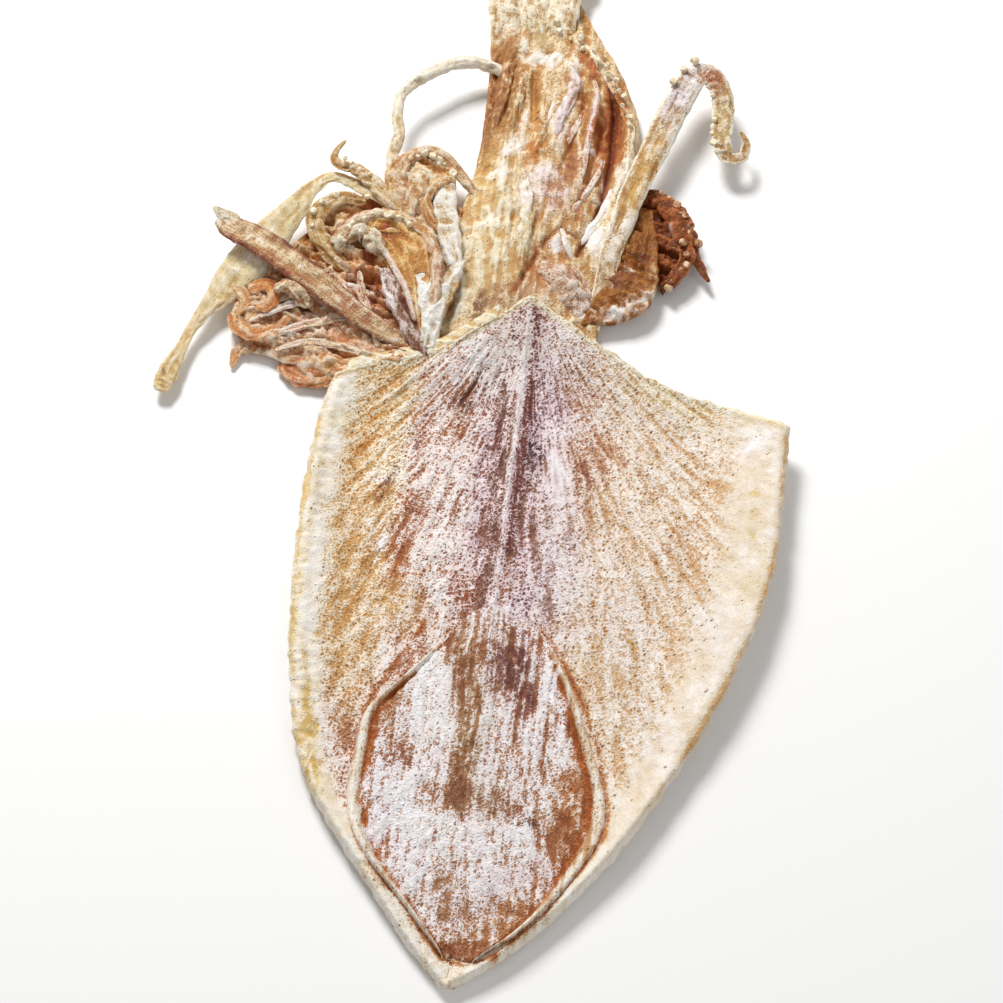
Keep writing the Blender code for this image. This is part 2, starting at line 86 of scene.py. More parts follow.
def curve(stations, t):
    """Smooth values at t through (t, value) stations."""
    places, values = np.array(stations, float).T
    last = len(places) - 1
    before = np.clip(np.arange(-1, last), 0, last)
    after = np.clip(np.arange(1, last + 2), 0, last)
    slopes = (values[after] - values[before]) / (places[after] - places[before])
    i = np.clip(np.searchsorted(places, t, side="right") - 1, 0, last - 1)
    span = places[i + 1] - places[i]
    s = np.clip((t - places[i]) / span, 0.0, 1.0)
    return (values[i] * (2 * s**3 - 3 * s**2 + 1) + slopes[i] * span * (s**3 - 2 * s**2 + s)
            + values[i + 1] * (3 * s**2 - 2 * s**3) + slopes[i + 1] * span * (s**3 - s**2))


def ease(low, high, value):
    """0 below low, 1 above high, smooth between."""
    s = np.clip((value - low) / (high - low), 0.0, 1.0)
    return s * s * (3.0 - 2.0 * s)


def bump(value, width):
    """A smooth hump, 1 at 0 and gone at about two widths."""
    return np.exp(-(value / width) ** 2)


def ripples(x, y, layer=0):
    """Smooth noise, about -1 to 1, at each point; each layer is a pattern of its own.

    A call divides each coordinate by the size in mm that the ripples have in that direction.
    """
    seeded = np.random.default_rng(layer)
    turns = seeded.uniform(0.0, 2.0 * math.pi, (NOISE_LATTICE, NOISE_LATTICE))
    x, y = np.broadcast_arrays(x, y)
    i, j = np.floor(x).astype(int), np.floor(y).astype(int)
    p, q = x - i, y - j
    total = np.zeros(x.shape)
    for di in (0, 1):
        for dj in (0, 1):
            turn = turns[(i + di) % NOISE_LATTICE, (j + dj) % NOISE_LATTICE]
            slope = np.cos(turn) * (p - di) + np.sin(turn) * (q - dj)
            fade_p, fade_q = (1.0 - ease(0.0, 1.0, abs(f - d)) for f, d in ((p, di), (q, dj)))
            total += slope * fade_p * fade_q
    return total * 1.6


def crests(x, y, layer=0):
    """Noise with thin wandering crests, about -1 to 1."""
    return 1.0 - 3.2 * abs(ripples(x, y, layer))


def from_line(x, y, line):
    """How far each point is from a line of straight runs."""
    nearest = np.full(np.shape(x), 1e9)
    for (ax, ay), (bx, by) in zip(line, line[1:]):
        run_x, run_y = bx - ax, by - ay
        s = np.clip(((x - ax) * run_x + (y - ay) * run_y) / (run_x**2 + run_y**2), 0.0, 1.0)
        nearest = np.minimum(nearest, np.hypot(x - ax - run_x * s, y - ay - run_y * s))
    return nearest


def tint(red, green, blue):
    """A colour as the eye sees it, 0 to 255, in the linear values of a material."""
    return np.array([((value / 255 + 0.055) / 1.055) ** 2.4 for value in (red, green, blue)])


def mantle_half_width(u, v):
    """From the midline to the side that u is on, at v, 0 to 1 from the tail to the front edge.

    u goes from -1 at the left side to 1 at the right one.
    """
    return np.where(u > 0, curve(RIGHT_HALF_WIDTH, v), curve(LEFT_HALF_WIDTH, v))


def mantle_lift(u, v):
    """Height of the sheet's underside: flat in the middle, raised at rim and peak."""
    x = u * mantle_half_width(u, v)
    right = RIGHT_RIM_LIFT * ease(0.66, 1.02, u) * curve(RIGHT_RIM_ALONG, v)
    left = LEFT_RIM_LIFT * ease(0.70, 1.0, -u) * curve(LEFT_RIM_ALONG, v)
    peak = PEAK_LIFT * ease(0.84, 1.0, v) * bump(x, 30.0)
    front = FRONT_LIFT * ease(0.90, 1.0, v)
    wave = 0.6 * ripples(x / 34.0, v * 5.0, 3) * ease(0.3, 0.8, abs(u))
    return np.maximum(0.0, np.where(u > 0, right, left) + peak + front + wave - 0.3)


def fan(x, y):
    """The fibres' own coordinates in mm: across them, and along them from the fan's centre."""
    below = np.maximum(FAN_CENTRE_Y - y, 4.0)
    return np.arctan2(x, below) * FAN_RADIUS, np.hypot(x, below)


def mantle_ridges(x, y, u, v):
    """The dried relief, about -1 to 1: fibres that fan out from the peak, and wrinkled rims."""
    turn, reach = fan(x, y)
    across = turn + 1.2 * ripples(x / 9.0, y / 9.0, 10)
    fibres = 0.75 * crests(across / 3.4, reach / 30.0, 11) + 0.6 * crests(across / 1.9, reach / 14.0, 12)
    folds = ripples(across / 4.6, reach / 34.0, 13)
    wrinkles = crests(x / 3.2, y / 4.2, 14) + 0.6 * ripples(x / 1.5, y / 1.9, 15)
    rim = np.where(x > 0, ease(0.72, 0.86, u), ease(0.66, 0.84, -u))
    worms = crests(x / 5.0, y / 2.4, 16) * 0.7 + 0.8 * ripples(x / 4.0, y / 2.4, 17)
    smooth = bump(x - 14.0, 7.0) * bump(y - 135.0, 34.0)
    strength = (1.0 - 0.42 * ease(-3.0, 24.0, x)) * (1.0 - 0.7 * smooth)
    inner = (0.62 * fibres + 0.4 * folds + 0.2 * wrinkles) * strength * ease(2.0, 34.0, reach)
    banded = bump(x + 50.0, 12.0) * ease(60.0, 80.0, y)
    worms = np.where(x > 0, 0.35, 1.0) * worms
    return inner * (1.0 - rim) + (0.34 * worms + 0.15 * wrinkles) * np.maximum(rim, 0.5 * banded)


def rounded(distance, radius):
    """0 at an edge, 1 from radius inwards, as a quarter circle."""
    s = 1.0 - np.clip(distance / radius, 0.0, 1.0)
    return np.sqrt(1.0 - s * s)


def from_edges(u, v):
    """How far each point is from the slanting side of the mantle, and from its front edge."""
    return ((1.0 - abs(u)) * mantle_half_width(u, v) * SIDE_SLANT,
            (1.0 - v) * curve(FRONT_EDGE, u) * FRONT_SLANT)


def mantle_relief(x, y, u, v):
    """What stands on the sheet, in mm, besides its thickness."""
    from_side, from_front = from_edges(u, v)
    pen = PEN_HEIGHT * bump(x, 3.0) * ease(0.22, 0.42, v) * (0.7 + 0.35 * bump(x + 0.2, 0.7))
    groove = -0.6 * bump(abs(x) - 7.0, 3.0) * ease(0.4, 0.6, v)
    lip = TAIL_LIP_HEIGHT * bump(from_side - 1.5, 2.4) * ease(0.42, 0.25, v)
    border = 0.5 * bump(from_front - 1.3, 1.0)
    side = 0.45 * bump(from_side - 2.4, 1.0) * ease(0.3, 0.45, v)
    edge = rounded(np.minimum(from_side, from_front), EDGE_RADIUS)
    return (pen + groove + lip + border + side + RIDGE_HEIGHT * mantle_ridges(x, y, u, v)) * edge \
        - 1.3 * (1.0 - edge)


def mantle_across(s):
    """Columns from -1 to 1, a little closer together at the midline."""
    return s * (COLUMN_CROWDING + (1.0 - COLUMN_CROWDING) * s * s)


def mantle_shape(s, t):
    """x, y, underside and top of the mantle for s across, -1 to 1, and t along, 0 to 1."""
    u = mantle_across(s)
    x = u * mantle_half_width(u, t)
    y = t * curve(FRONT_EDGE, u)
    ragged = 0.5 * ripples(x / 4.0, y / 4.0, 18) + 0.25 * ripples(x / 1.5, y / 1.5, 19)
    x = x + ragged * ease(0.97, 1.0, abs(u)) * np.sign(u)
    y = y + 1.4 * ragged * ease(0.985, 1.0, t)
    low = mantle_lift(u, t)
    return x, y, low, low + SHEET_THICKNESS + mantle_relief(x, y, u, t)


def placed(x, y, z):
    """Points in metres, in the row's frame."""
    return np.stack([(x + TAIL_X) * MM, (y + TAIL_Y) * MM, z * MM], axis=-1)


def finished(name, mesh, points=(), kept=None, weld=False):
    """Move the bmesh to its points, turn its faces outwards and make it an object.

    kept holds values for each vertex that stay on the mesh as attributes.
    """
    layers = [(mesh.verts.layers.float.new(key), values) for key, values in (kept or {}).items()]
    for index, (vert, point) in enumerate(zip(mesh.verts, points)):
        vert.co = point
        for layer, values in layers:
            vert[layer] = values[index]
    if weld:
        bmesh.ops.remove_doubles(mesh, verts=mesh.verts, dist=1e-6)
    bmesh.ops.recalc_face_normals(mesh, faces=mesh.faces)
    data = bpy.data.meshes.new(name)
    mesh.to_mesh(data)
    mesh.free()
    data.shade_smooth()
    data.set_sharp_from_angle(angle=math.radians(70.0))
    piece = bpy.data.objects.new(name, data)
    bpy.context.scene.collection.objects.link(piece)
    return piece


UNDERSIDE_RINGS = (1.0, 0.97, 0.9, 0.78, 0.62, 0.45, 0.28, 0.12)


def dried_sheet(name, columns, rows, shape):
    """A closed sheet: a fine grid, and rings of its rim extruded inwards for the underside."""
    mesh = bmesh.new()
    bmesh.ops.create_grid(mesh, x_segments=columns, y_segments=rows, size=1.0)
    ring = [edge for edge in mesh.edges if edge.is_boundary]
    reached = 1.0
    for reach in UNDERSIDE_RINGS:
        made = bmesh.ops.extrude_edge_only(mesh, edges=ring)["geom"]
        ring = [item for item in made if isinstance(item, bmesh.types.BMEdge)]
        for vert in {vert for edge in ring for vert in edge.verts}:
            vert.co = (vert.co.x * reach / reached, vert.co.y * reach / reached, -1.0)
        reached = reach
    bmesh.ops.edgeloop_fill(mesh, edges=ring)
    flat = np.array([vert.co for vert in mesh.verts])
    s, t = flat[:, 0], flat[:, 1] * 0.5 + 0.5
    x, y, low, high = shape(s, t)
    points = placed(x, y, np.where(flat[:, 2] < 0.0, low, high))
    return finished(name, mesh, points, {"s": s, "t": t})


def local_points(piece, *kept):
    """The vertices' x and y in mm from the tail tip, and the values kept on the mesh."""
    points = np.zeros(len(piece.data.vertices) * 3)
    piece.data.vertices.foreach_get("co", points)
    x, y, _ = (points.reshape(-1, 3) / MM).T
    found = [x - TAIL_X, y - TAIL_Y]
    for key in kept:
        values = np.zeros(len(x), np.float32)
        piece.data.attributes[key].data.foreach_get("value", values)
        found.append(values.astype(float))
    return found


def soft_spot(x, y, across, along, turn):
    """How strongly each point lies in an oval spot centred on 0, its long way turned left."""
    angle = math.radians(turn)
    p = (x * math.cos(angle) + y * math.sin(angle)) / across
    q = (y * math.cos(angle) - x * math.sin(angle)) / along
    return np.exp(-((p * p + q * q) ** 1.2))


def shift(coat, weight, stain=None, bloom=None, cover=None):
    """Move the coat towards a stain, a bloom colour and a cover, by the weight at each point."""
    for layer, aim in (("stain", stain), ("bloom", bloom)):
        if aim is not None:
            coat[layer] += (tint(*aim) - coat[layer]) * weight[:, None]
    if cover is not None:
        coat["cover"] += (cover - coat["cover"]) * weight


def lay_patches(x, y, patches, coat, strength=1.0):
    """Add spots to the coat: (x, y, across, along, turn, more bloom, stain, bloom colour)."""
    x, y = x + 1.5 * ripples(x / 3.5, y / 5.0, 31), y + 2.0 * ripples(x / 3.5, y / 5.0, 32)
    torn = np.clip(0.85 + 0.8 * ripples(x / 1.7, y / 2.6, 33), 0.25, 1.15)
    for spot_x, spot_y, across, along, turn, more, *colours in patches:
        weight = soft_spot(x - spot_x, y - spot_y, across, along, turn) * torn
        coat["cover"] += strength * more * weight
        shift(coat, weight, *colours)


def lay_lines(x, y, lines, coat):
    """Add lines to the coat, like narrow patches: (width, more bloom, stain, line)."""
    for width, more, stain, line in lines:
        weight = bump(from_line(x, y, line), width)
        coat["cover"] += more * weight
        shift(coat, weight, stain)


def coat_of(count, stain, bloom, cover, fibre=0.5, specks=0.4):
    """A plain coat over a number of points."""
    ones = np.ones((count, 1))
    return {"stain": tint(*stain) * ones, "bloom": tint(*bloom) * ones, "cover": np.full(count, cover),
            "relief": np.zeros(count), "grain": np.zeros((count, 2)),
            "specks": np.full(count, specks), "fibre": np.full(count, fibre),
            "crumbly": np.ones(count)}


def settle(piece, coat, skin):
    """Write the coat on the piece for its material to read, and give the piece to the row."""
    stain = np.column_stack([coat["stain"], coat["cover"]])
    bloom = np.column_stack([coat["bloom"], coat["relief"]])
    weave = np.column_stack([coat["grain"], coat["fibre"], coat["specks"]])
    for name, values in (("stain", stain), ("bloom", bloom), ("weave", weave)):
        layer = piece.data.attributes.new(name, "FLOAT_COLOR", "POINT")
        layer.data.foreach_set("color", values.astype(np.float32).ravel())
    crumbly = piece.data.attributes.new("crumbly", "FLOAT", "POINT")
    crumbly.data.foreach_set("value", coat["crumbly"].astype(np.float32))
    piece.data.materials.append(skin)
    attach(piece, "root")
    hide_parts("dried_squid")


def add(tree, kind, inputs=(), **settings):
    """A node of the tree with its settings, and its inputs linked or set."""
    node = tree.nodes.new(kind)
    for setting, value in settings.items():
        setattr(node, setting, value)
    for socket, value in dict(inputs).items():
        if isinstance(value, bpy.types.NodeSocket):
            tree.links.new(value, node.inputs[socket])
        else:
            node.inputs[socket].default_value = value
    return node


def maths(tree, operation, a, b=0.0, c=0.0):
    return add(tree, "ShaderNodeMath", {0: a, 1: b, 2: c}, operation=operation).outputs[0]


def scaled(tree, value, gain, more):
    """value times gain, plus more."""
    return maths(tree, "MULTIPLY_ADD", value, gain, more)


def centred_noise(tree, vector, scale, detail, gain):
    """Noise about 0, times gain."""
    grains = add(tree, "ShaderNodeTexNoise",
                 {"Vector": vector, "Scale": scale, "Detail": detail, "Roughness": 0.6})
    return scaled(tree, grains.outputs["Fac"], gain, -0.5 * gain)


def between(tree, value, low, high):
    """0 where value is at low, 1 at high, smooth between."""
    return add(tree, "ShaderNodeMapRange", {"Value": value, "From Min": low, "From Max": high},
               interpolation_type="SMOOTHSTEP").outputs["Result"]


def blended(tree, factor, a, b, mode="MIX"):
    mix = add(tree, "ShaderNodeMix", {"Factor": factor}, data_type="RGBA", blend_type=mode)
    for socket, value in ((6, a), (7, b)):
        if isinstance(value, bpy.types.NodeSocket):
            tree.links.new(value, mix.inputs[socket])
        else:
            mix.inputs[socket].default_value = (*value, 1.0)
    return mix.outputs[2]


SPECK_COLOUR = (92, 52, 44)
SPECK_SPACING = 1.15


def dried_skin(name, fibre_width=0.9, fibre_length=7.0, crumb=1.15, contrast=1.0, ridge=0.9,
               depth=0.5, gloss=0.42, glow=0.0):
    """Dried flesh: a crumbly net of bloom over stained pits and grooves, with skin specks; where the relief
    is low the stain is darkened further as painted shade.

    Fibre width and length, crumb and depth are in mm; ridge is how much more bloom the crests
    of the relief carry.
    """
    material = bpy.data.materials.new(name)
    material.use_nodes = True
    tree = material.node_tree
    shader = tree.nodes["Principled BSDF"]
    stain, bloom, weave, crumbly = (add(tree, "ShaderNodeAttribute", attribute_name=layer)
                                    for layer in ("stain", "bloom", "weave", "crumbly"))
    crumbly = crumbly.outputs["Fac"]
    along = add(tree, "ShaderNodeSeparateColor", {"Color": weave.outputs["Color"]})
    where = add(tree, "ShaderNodeTexCoord").outputs["Object"]
    place = add(tree, "ShaderNodeVectorMath", {0: where, "Scale": 1.0 / MM}, operation="SCALE")
    place = place.outputs["Vector"]
    strands = add(tree, "ShaderNodeCombineXYZ", {
        "X": maths(tree, "DIVIDE", along.outputs["Red"], fibre_width),
        "Y": maths(tree, "DIVIDE", along.outputs["Green"], fibre_length)}).outputs["Vector"]

    # the pattern of the bloom: fibres along the grain, crumbs, and a net of cells
    fibres = centred_noise(tree, strands, 1.0, 2.0, 2.4)
    waves = maths(tree, "ABSOLUTE", centred_noise(tree, strands, 0.32, 1.0, 3.4))
    veins = scaled(tree, waves, -2.4, 0.7)
    crumbs = centred_noise(tree, place, 2.1 / crumb, 2.0, 3.0)
    worms = maths(tree, "ABSOLUTE", centred_noise(tree, place, 1.25 / crumb, 1.0, 4.0))
    crumbs = maths(tree, "ADD", crumbs, scaled(tree, worms, -1.7, 0.55))
    blotch = centred_noise(tree, place, 0.16, 2.0, 1.8)
    stray = centred_noise(tree, place, 0.9, 1.0, 1.6)
    astray = add(tree, "ShaderNodeVectorMath", {0: place, 1: stray}, operation="ADD")
    cell = {"Vector": astray.outputs["Vector"], "Scale": 1.0 / crumb}
    pits = add(tree, "ShaderNodeTexVoronoi", cell, feature="DISTANCE_TO_EDGE")
    net = scaled(tree, pits.outputs["Distance"], -6.0, 0.9)
    net = maths(tree, "MAXIMUM", net, -0.8)
    lot = add(tree, "ShaderNodeSeparateColor",
              {"Color": add(tree, "ShaderNodeTexVoronoi", cell, feature="F1").outputs["Color"]})
    scatter = scaled(tree, lot.outputs["Red"], 1.4, -0.7)
    grains = maths(tree, "ADD", maths(tree, "ADD", crumbs, net), scatter)
    fibrous = maths(tree, "MULTIPLY", maths(tree, "ADD", fibres, veins), along.outputs["Blue"])
    height = scaled(tree, grains, crumbly, fibrous)
    level = scaled(tree, height, 0.7 * contrast, stain.outputs["Alpha"])
    level = scaled(tree, bloom.outputs["Alpha"], ridge, level)
    level = scaled(tree, blotch, 0.15, level)
    cover = between(tree, level, -0.35, 0.35)

    # the colours: the stain deeper in the pits and darker in the hollows of the relief as painted shade,
    # the bloom paler where it lies thick
    warmth = centred_noise(tree, place, 0.3, 3.0, 1.0)
    warm = blended(tree, between(tree, warmth, -0.1, 0.25), stain.outputs["Color"],
                   (1.03, 0.935, 0.81), "MULTIPLY")
    # painted shade: the stain multiplied darker where the level is low, in the pits and in the relief's
    # hollows
    deep_stain_and_shade = blended(tree, between(tree, level, -0.3, -1.8), warm, (0.58, 0.45, 0.4), "MULTIPLY")
    creamy = blended(tree, between(tree, warmth, 0.05, -0.3), bloom.outputs["Color"],
                     (1.0, 0.945, 0.84), "MULTIPLY")
    pale = blended(tree, between(tree, level, 0.3, 1.6), creamy, (0.66, 0.62, 0.61), "SCREEN")
    base = blended(tree, cover, deep_stain_and_shade, pale)
    shade = scaled(tree, lot.outputs["Green"], 0.16, 0.9)
    base = blended(tree, crumbly, base, blended(tree, 1.0, base, shade, "MULTIPLY"))

    # the specks of the skin, a few of the cells of a second net
    cells = add(tree, "ShaderNodeTexVoronoi", {"Vector": astray.outputs["Vector"],
                                               "Scale": 1.0 / SPECK_SPACING}, feature="F1")
    draw = add(tree, "ShaderNodeSeparateColor", {"Color": cells.outputs["Color"]})
    radius = scaled(tree, draw.outputs["Green"], 0.16, 0.13)
    dot = between(tree, maths(tree, "SUBTRACT", cells.outputs["Distance"], radius), 0.08, -0.06)
    chosen = maths(tree, "LESS_THAN", draw.outputs["Red"], weave.outputs["Alpha"])
    speck = maths(tree, "MULTIPLY", maths(tree, "MULTIPLY", dot, chosen), 0.8)
    base = blended(tree, speck, base, tint(*SPECK_COLOUR))
    tree.links.new(base, shader.inputs["Base Color"])

    # dull bloom on glossier flesh, and the fine relief of both
    rough = scaled(tree, cover, 0.66 - gloss, gloss)
    tree.links.new(rough, shader.inputs["Roughness"])
    shader.inputs["Specular IOR Level"].default_value = 0.36
    if glow:
        shader.inputs["Subsurface Weight"].default_value = glow
        shader.inputs["Subsurface Radius"].default_value = (1.0, 0.55, 0.3)
        shader.inputs["Subsurface Scale"].default_value = 1.5 * MM
    rise = scaled(tree, cover, 0.4, maths(tree, "MULTIPLY", height, 0.3))
    rise = scaled(tree, speck, -0.3, rise)
    dents = add(tree, "ShaderNodeBump", {"Height": rise, "Strength": 0.6,
                                         "Distance": depth * MM})
    tree.links.new(dents.outputs["Normal"], shader.inputs["Normal"])
    return material


GOLD = (214, 164, 96)
DEEP_GOLD = (204, 138, 60)
OLIVE_GOLD = (206, 166, 94)
RUST = (176, 106, 62)
BROWN = (132, 84, 70)
DARK_PLUM = (84, 46, 48)
TAN = (206, 156, 114)
YELLOW_CREAM = (234, 212, 166)
WHITE_BLOOM = (249, 238, 234)
PINK_BLOOM = (243, 222, 215)
LILAC_BLOOM = (228, 200, 208)

MANTLE_PATCHES = (
    # the left side, from the front corner to the tail
    (-51, 160, 5.5, 12, -8, 0.2, (220, 196, 150), (226, 212, 182)),
    (-54.5, 139, 3.8, 13, 0, -0.2, (222, 196, 150), (220, 200, 164)),
    (-36, 180, 9, 3.5, 12, 0.6, OLIVE_GOLD, YELLOW_CREAM),
    (-36, 171, 8, 6, -30, -0.1, GOLD, (236, 212, 172)),
    (-43, 152, 3.4, 15, -10, -0.5, DEEP_GOLD, (230, 190, 126)),
    (-42, 118, 3.6, 22, 0, -0.45, (218, 170, 106), (238, 205, 166)),
    (-38, 92, 8, 20, 2, -0.15, GOLD, (238, 216, 186)),
    (-35.5, 137, 1.7, 4, -10, -1.2, RUST),
    (-27.5, 133, 3, 5.5, -15, -1.2, RUST),
    (-31, 125, 1.6, 3.2, 0, -1.1, RUST),
    (-28, 119, 3.4, 5, 0, -1.1, (180, 104, 56)),
    (-27, 111, 5, 6, 0, -0.8, (200, 126, 62)),
    (-28, 102, 9, 8, 0, -0.4, GOLD, (236, 208, 168)),
    (-16.5, 168, 3, 3.6, -20, -1, BROWN),
    (-17, 158, 1.6, 5.5, -12, -1, (184, 112, 62)),
    (-11.5, 178, 1.6, 7.5, -26, -1, BROWN),
    (-29, 152, 2.4, 6, -28, -0.7, (150, 92, 76)),
    (-34, 143, 2, 5, -20, -0.4, BROWN),
    (-12, 181, 8, 6, -35, 0.9, None, WHITE_BLOOM),
    (-24, 163, 3, 11, -27, 0.4, None, PINK_BLOOM),
    (-17, 134, 4, 9, -10, 0.7, None, WHITE_BLOOM),
    (-34, 120, 4, 7, 0, 0.7, None, WHITE_BLOOM),
    (-16, 112, 2.2, 17, 2, 1.3, None, WHITE_BLOOM),
    (-14, 148, 3, 10, -8, 0.5, None, PINK_BLOOM),
    (-37, 141, 3, 2.4, -40, 0.7, None, WHITE_BLOOM),
    (-41, 50, 4, 13, 24, -1.6, (212, 176, 98), (234, 208, 146)),
    (-46, 70, 2.2, 14, 12, -1.1, (222, 188, 116), YELLOW_CREAM),
    (-53, 104, 1.6, 22, 4, -0.4, (226, 196, 130), YELLOW_CREAM),
    (-17, 98, 4, 6, 0, -0.25, None, (236, 214, 200)),
    # the midline
    (-7, 148, 3.2, 16, 0, -0.35, (140, 88, 76), LILAC_BLOOM),
    (-6, 128, 3, 12, 0, -0.2, (156, 104, 84), LILAC_BLOOM),
    (-9, 108, 5, 8, 0, -1, (166, 92, 54)),
    (6, 158, 4.2, 15, 0, -0.6, DARK_PLUM, (216, 186, 196)),
    (-5, 186, 13, 10, 0, 1.3, (198, 146, 112), (248, 229, 218)),
    (11, 167, 5, 8, 20, 0.3, (150, 110, 118), LILAC_BLOOM),
    (12.5, 149, 4, 11, 10, 1.2, None, (218, 204, 206)),
    (16, 117, 7.5, 23, 0, 0.45, (172, 134, 130), (226, 206, 208)),
    (21, 148, 3.2, 7.5, 5, -1.5, (158, 90, 60)),
    (22.5, 158, 3.6, 8, 30, -0.6, (172, 108, 76)),
    (22, 136, 1.8, 5, 10, -0.8, (190, 120, 72)),
    (17, 185, 6.5, 3.6, 30, -0.2, (180, 120, 90), WHITE_BLOOM),
    (12, 191, 4.5, 2.4, 32, 0.8, None, WHITE_BLOOM),
    (6, 177, 3, 7, 10, 0.1, BROWN, LILAC_BLOOM),
    (6, 127, 3, 12, 5, -0.2, (150, 96, 76), LILAC_BLOOM),
    (8, 108, 2.8, 9, -10, -0.5, (110, 66, 60), LILAC_BLOOM),
    (2, 112, 2, 8, 0, -0.5, RUST),
    (3, 102, 2.6, 5, 0, 0.5, None, LILAC_BLOOM),
    # the right side
    (45, 174, 15, 5, -22, 0.2, OLIVE_GOLD, YELLOW_CREAM),
    (30, 152, 8, 13, 35, -0.15, (206, 150, 110)),
    (20, 171, 6, 9, 35, -0.1, (200, 142, 110)),
    (50, 134, 6.5, 4.4, 35, -0.5, (222, 172, 116)),
    (58, 146, 2.6, 6, 20, -0.5, (220, 168, 108)),
    (54, 120, 3, 7, 0, -0.4, (224, 176, 124)),
    (62, 153, 2.6, 4, 30, -0.5, TAN),
    (30, 104, 1.6, 6, 24, -0.8, DEEP_GOLD),
    (36, 99, 1.4, 9, 25, -0.6, OLIVE_GOLD),
    (45, 128, 5, 3, 40, -0.4, TAN),
    (35, 106, 13, 13, 0, 0.15, None, (236, 216, 202)),
    (68, 131, 1.6, 4.5, 15, -0.9, (226, 198, 118)),
    (69, 143, 4.2, 1.2, 5, -0.9, (228, 200, 124)),
    (68, 161, 3, 6, -50, 0.5, None, WHITE_BLOOM),
    (46.5, 73, 5, 13, 20, 0.2, None, (236, 222, 210)),
    (60, 103, 5, 16, 15, -0.1, None, (232, 220, 208)),
)
MANTLE_LINES = (
    # the pen's hollows and its crest
    (2.2, -0.5, (138, 92, 78),
     ((-2, 198), (-4.2, 176), (-4.6, 160), (-3, 140), (-2.2, 124), (-3, 104))),
    (1.5, -1.1, (124, 62, 54), ((2.2, 199), (2.8, 180), (2.6, 160), (2.2, 140), (1.8, 122))),
    (0.9, 0.9, None, ((0.4, 199), (0.2, 160), (0.1, 130), (-0.4, 100), (-1, 84))),
    # a tan band inside the right rim
    (3.2, -0.2, (224, 180, 130), ((36, 62), (42, 80), (50, 100), (53, 118), (58, 140), (64, 160))),
    # the orange lines just outside the fins' border, left and right: painted shadow that the leaf's raised
    # border casts on the mantle
    (0.9, -1.3, (190, 118, 58),
     ((-18, 98), (-22, 90), (-27, 80), (-31, 71), (-31.5, 60), (-30.5, 48), (-29.5, 40), (-26.5, 33),
      (-21.5, 28), (-14, 19.5), (-7, 11.5), (-2, 6.8), (4, 5.5), (11, 8))),
    (0.9, -1.3, (192, 118, 58),
     ((14, 99), (19, 93), (23, 86), (27.5, 77.5), (31, 69), (34, 59), (36.2, 49), (35.6, 42),
      (32.5, 35.5), (27, 27), (21, 18), (11, 8))),
)


def mantle_coat(x, y, s, t):
    u, v = mantle_across(s), t
    coat = coat_of(len(x), (222, 180, 130), (244, 224, 203), 0.16)
    left = ease(-1.0, -6.0, x)
    shift(coat, left, (186, 124, 84), (243, 224, 214))
    golden = ease(-27.0, -34.0, x) * ease(60.0, 90.0, y)
    shift(coat, golden, GOLD, (244, 224, 190))
    middle = bump(x - 4.0, 16.0) * ease(85.0, 110.0, y)
    shift(coat, 0.85 * middle, bloom=LILAC_BLOOM)
    shift(coat, 0.75 * middle, stain=(118, 70, 64))
    coat["cover"] -= 0.18 * left + 0.12 * middle

    rim = np.where(x > 0, ease(0.70, 0.88, u), ease(0.80, 0.90, -u)) * ease(0.08, 0.3, v)
    mottle = ripples(x / 6.0, y / 8.0, 21) + 0.7 * ripples(x / 2.6, y / 3.4, 22)
    shift(coat, rim, (230, 200, 146))
    shift(coat, rim * (x > 0), bloom=(228, 210, 184))
    shift(coat, rim * (x <= 0), bloom=(248, 240, 228))
    shift(coat, 0.9 * rim, cover=0.75 + 0.5 * mottle)
    lay_patches(x, y, MANTLE_PATCHES, coat, 0.7)
    from_side, from_front = from_edges(u, v)
    hem = bump(from_side - 0.7, 0.6) * ease(0.25, 0.4, v) * (0.8 + 0.5 * ripples(x / 9.0, y / 9.0, 20))
    coat["cover"] -= 1.1 * hem
    hem = np.clip(hem, 0.0, 1.0)
    shift(coat, hem * (x > 0), (212, 166, 112))
    shift(coat, hem * (x <= 0), (230, 202, 140))
    tail_side = ease(0.34, 0.2, v) * ease(7.0, 4.0, from_side)
    shift(coat, tail_side, bloom=(236, 222, 198), cover=0.7)
    lay_lines(x, y, MANTLE_LINES, coat)
    shift(coat, ease(3.6, 1.6, from_front), (214, 172, 108), (238, 222, 188), 0.4)
    coat["relief"] = mantle_ridges(x, y, u, v)
    coat["grain"] = np.stack(fan(x, y), axis=1)
    coat["fibre"] = (1.0 - 0.8 * rim) * ease(2.0, 34.0, coat["grain"][:, 1])
    smooth = soft_spot(x - 12.5, y - 149.0, 4.0, 11.0, 10.0)
    coat["specks"] = (0.3 + 0.5 * bump(x - 2.0, 22.0) + 0.1 * bump(x - 30.0, 16.0)) * (1.0 - 0.85 * rim)
    coat["specks"] *= (1.0 - 0.9 * smooth) * (1.0 - 0.8 * tail_side)
    coat["crumbly"] = (1.0 - 0.68 * rim) * (1.0 - 0.7 * smooth) * (1.0 - 0.4 * tail_side)
    return coat


mantle = dried_sheet("mantle_skin", MANTLE_COLUMNS, MANTLE_ROWS, mantle_shape)
settle(mantle, mantle_coat(*local_points(mantle, "s", "t")),
       dried_skin("mantle_bloom_and_fibres", ridge=0.55))


# ------------------------------------------------------------------------------------------
# The fins. Two soft flaps, dried flat on the tail end into one leaf with a rolled border; the
# bloom lies on them in large flakes and long streaks, over bare rust-brown skin.
# ------------------------------------------------------------------------------------------

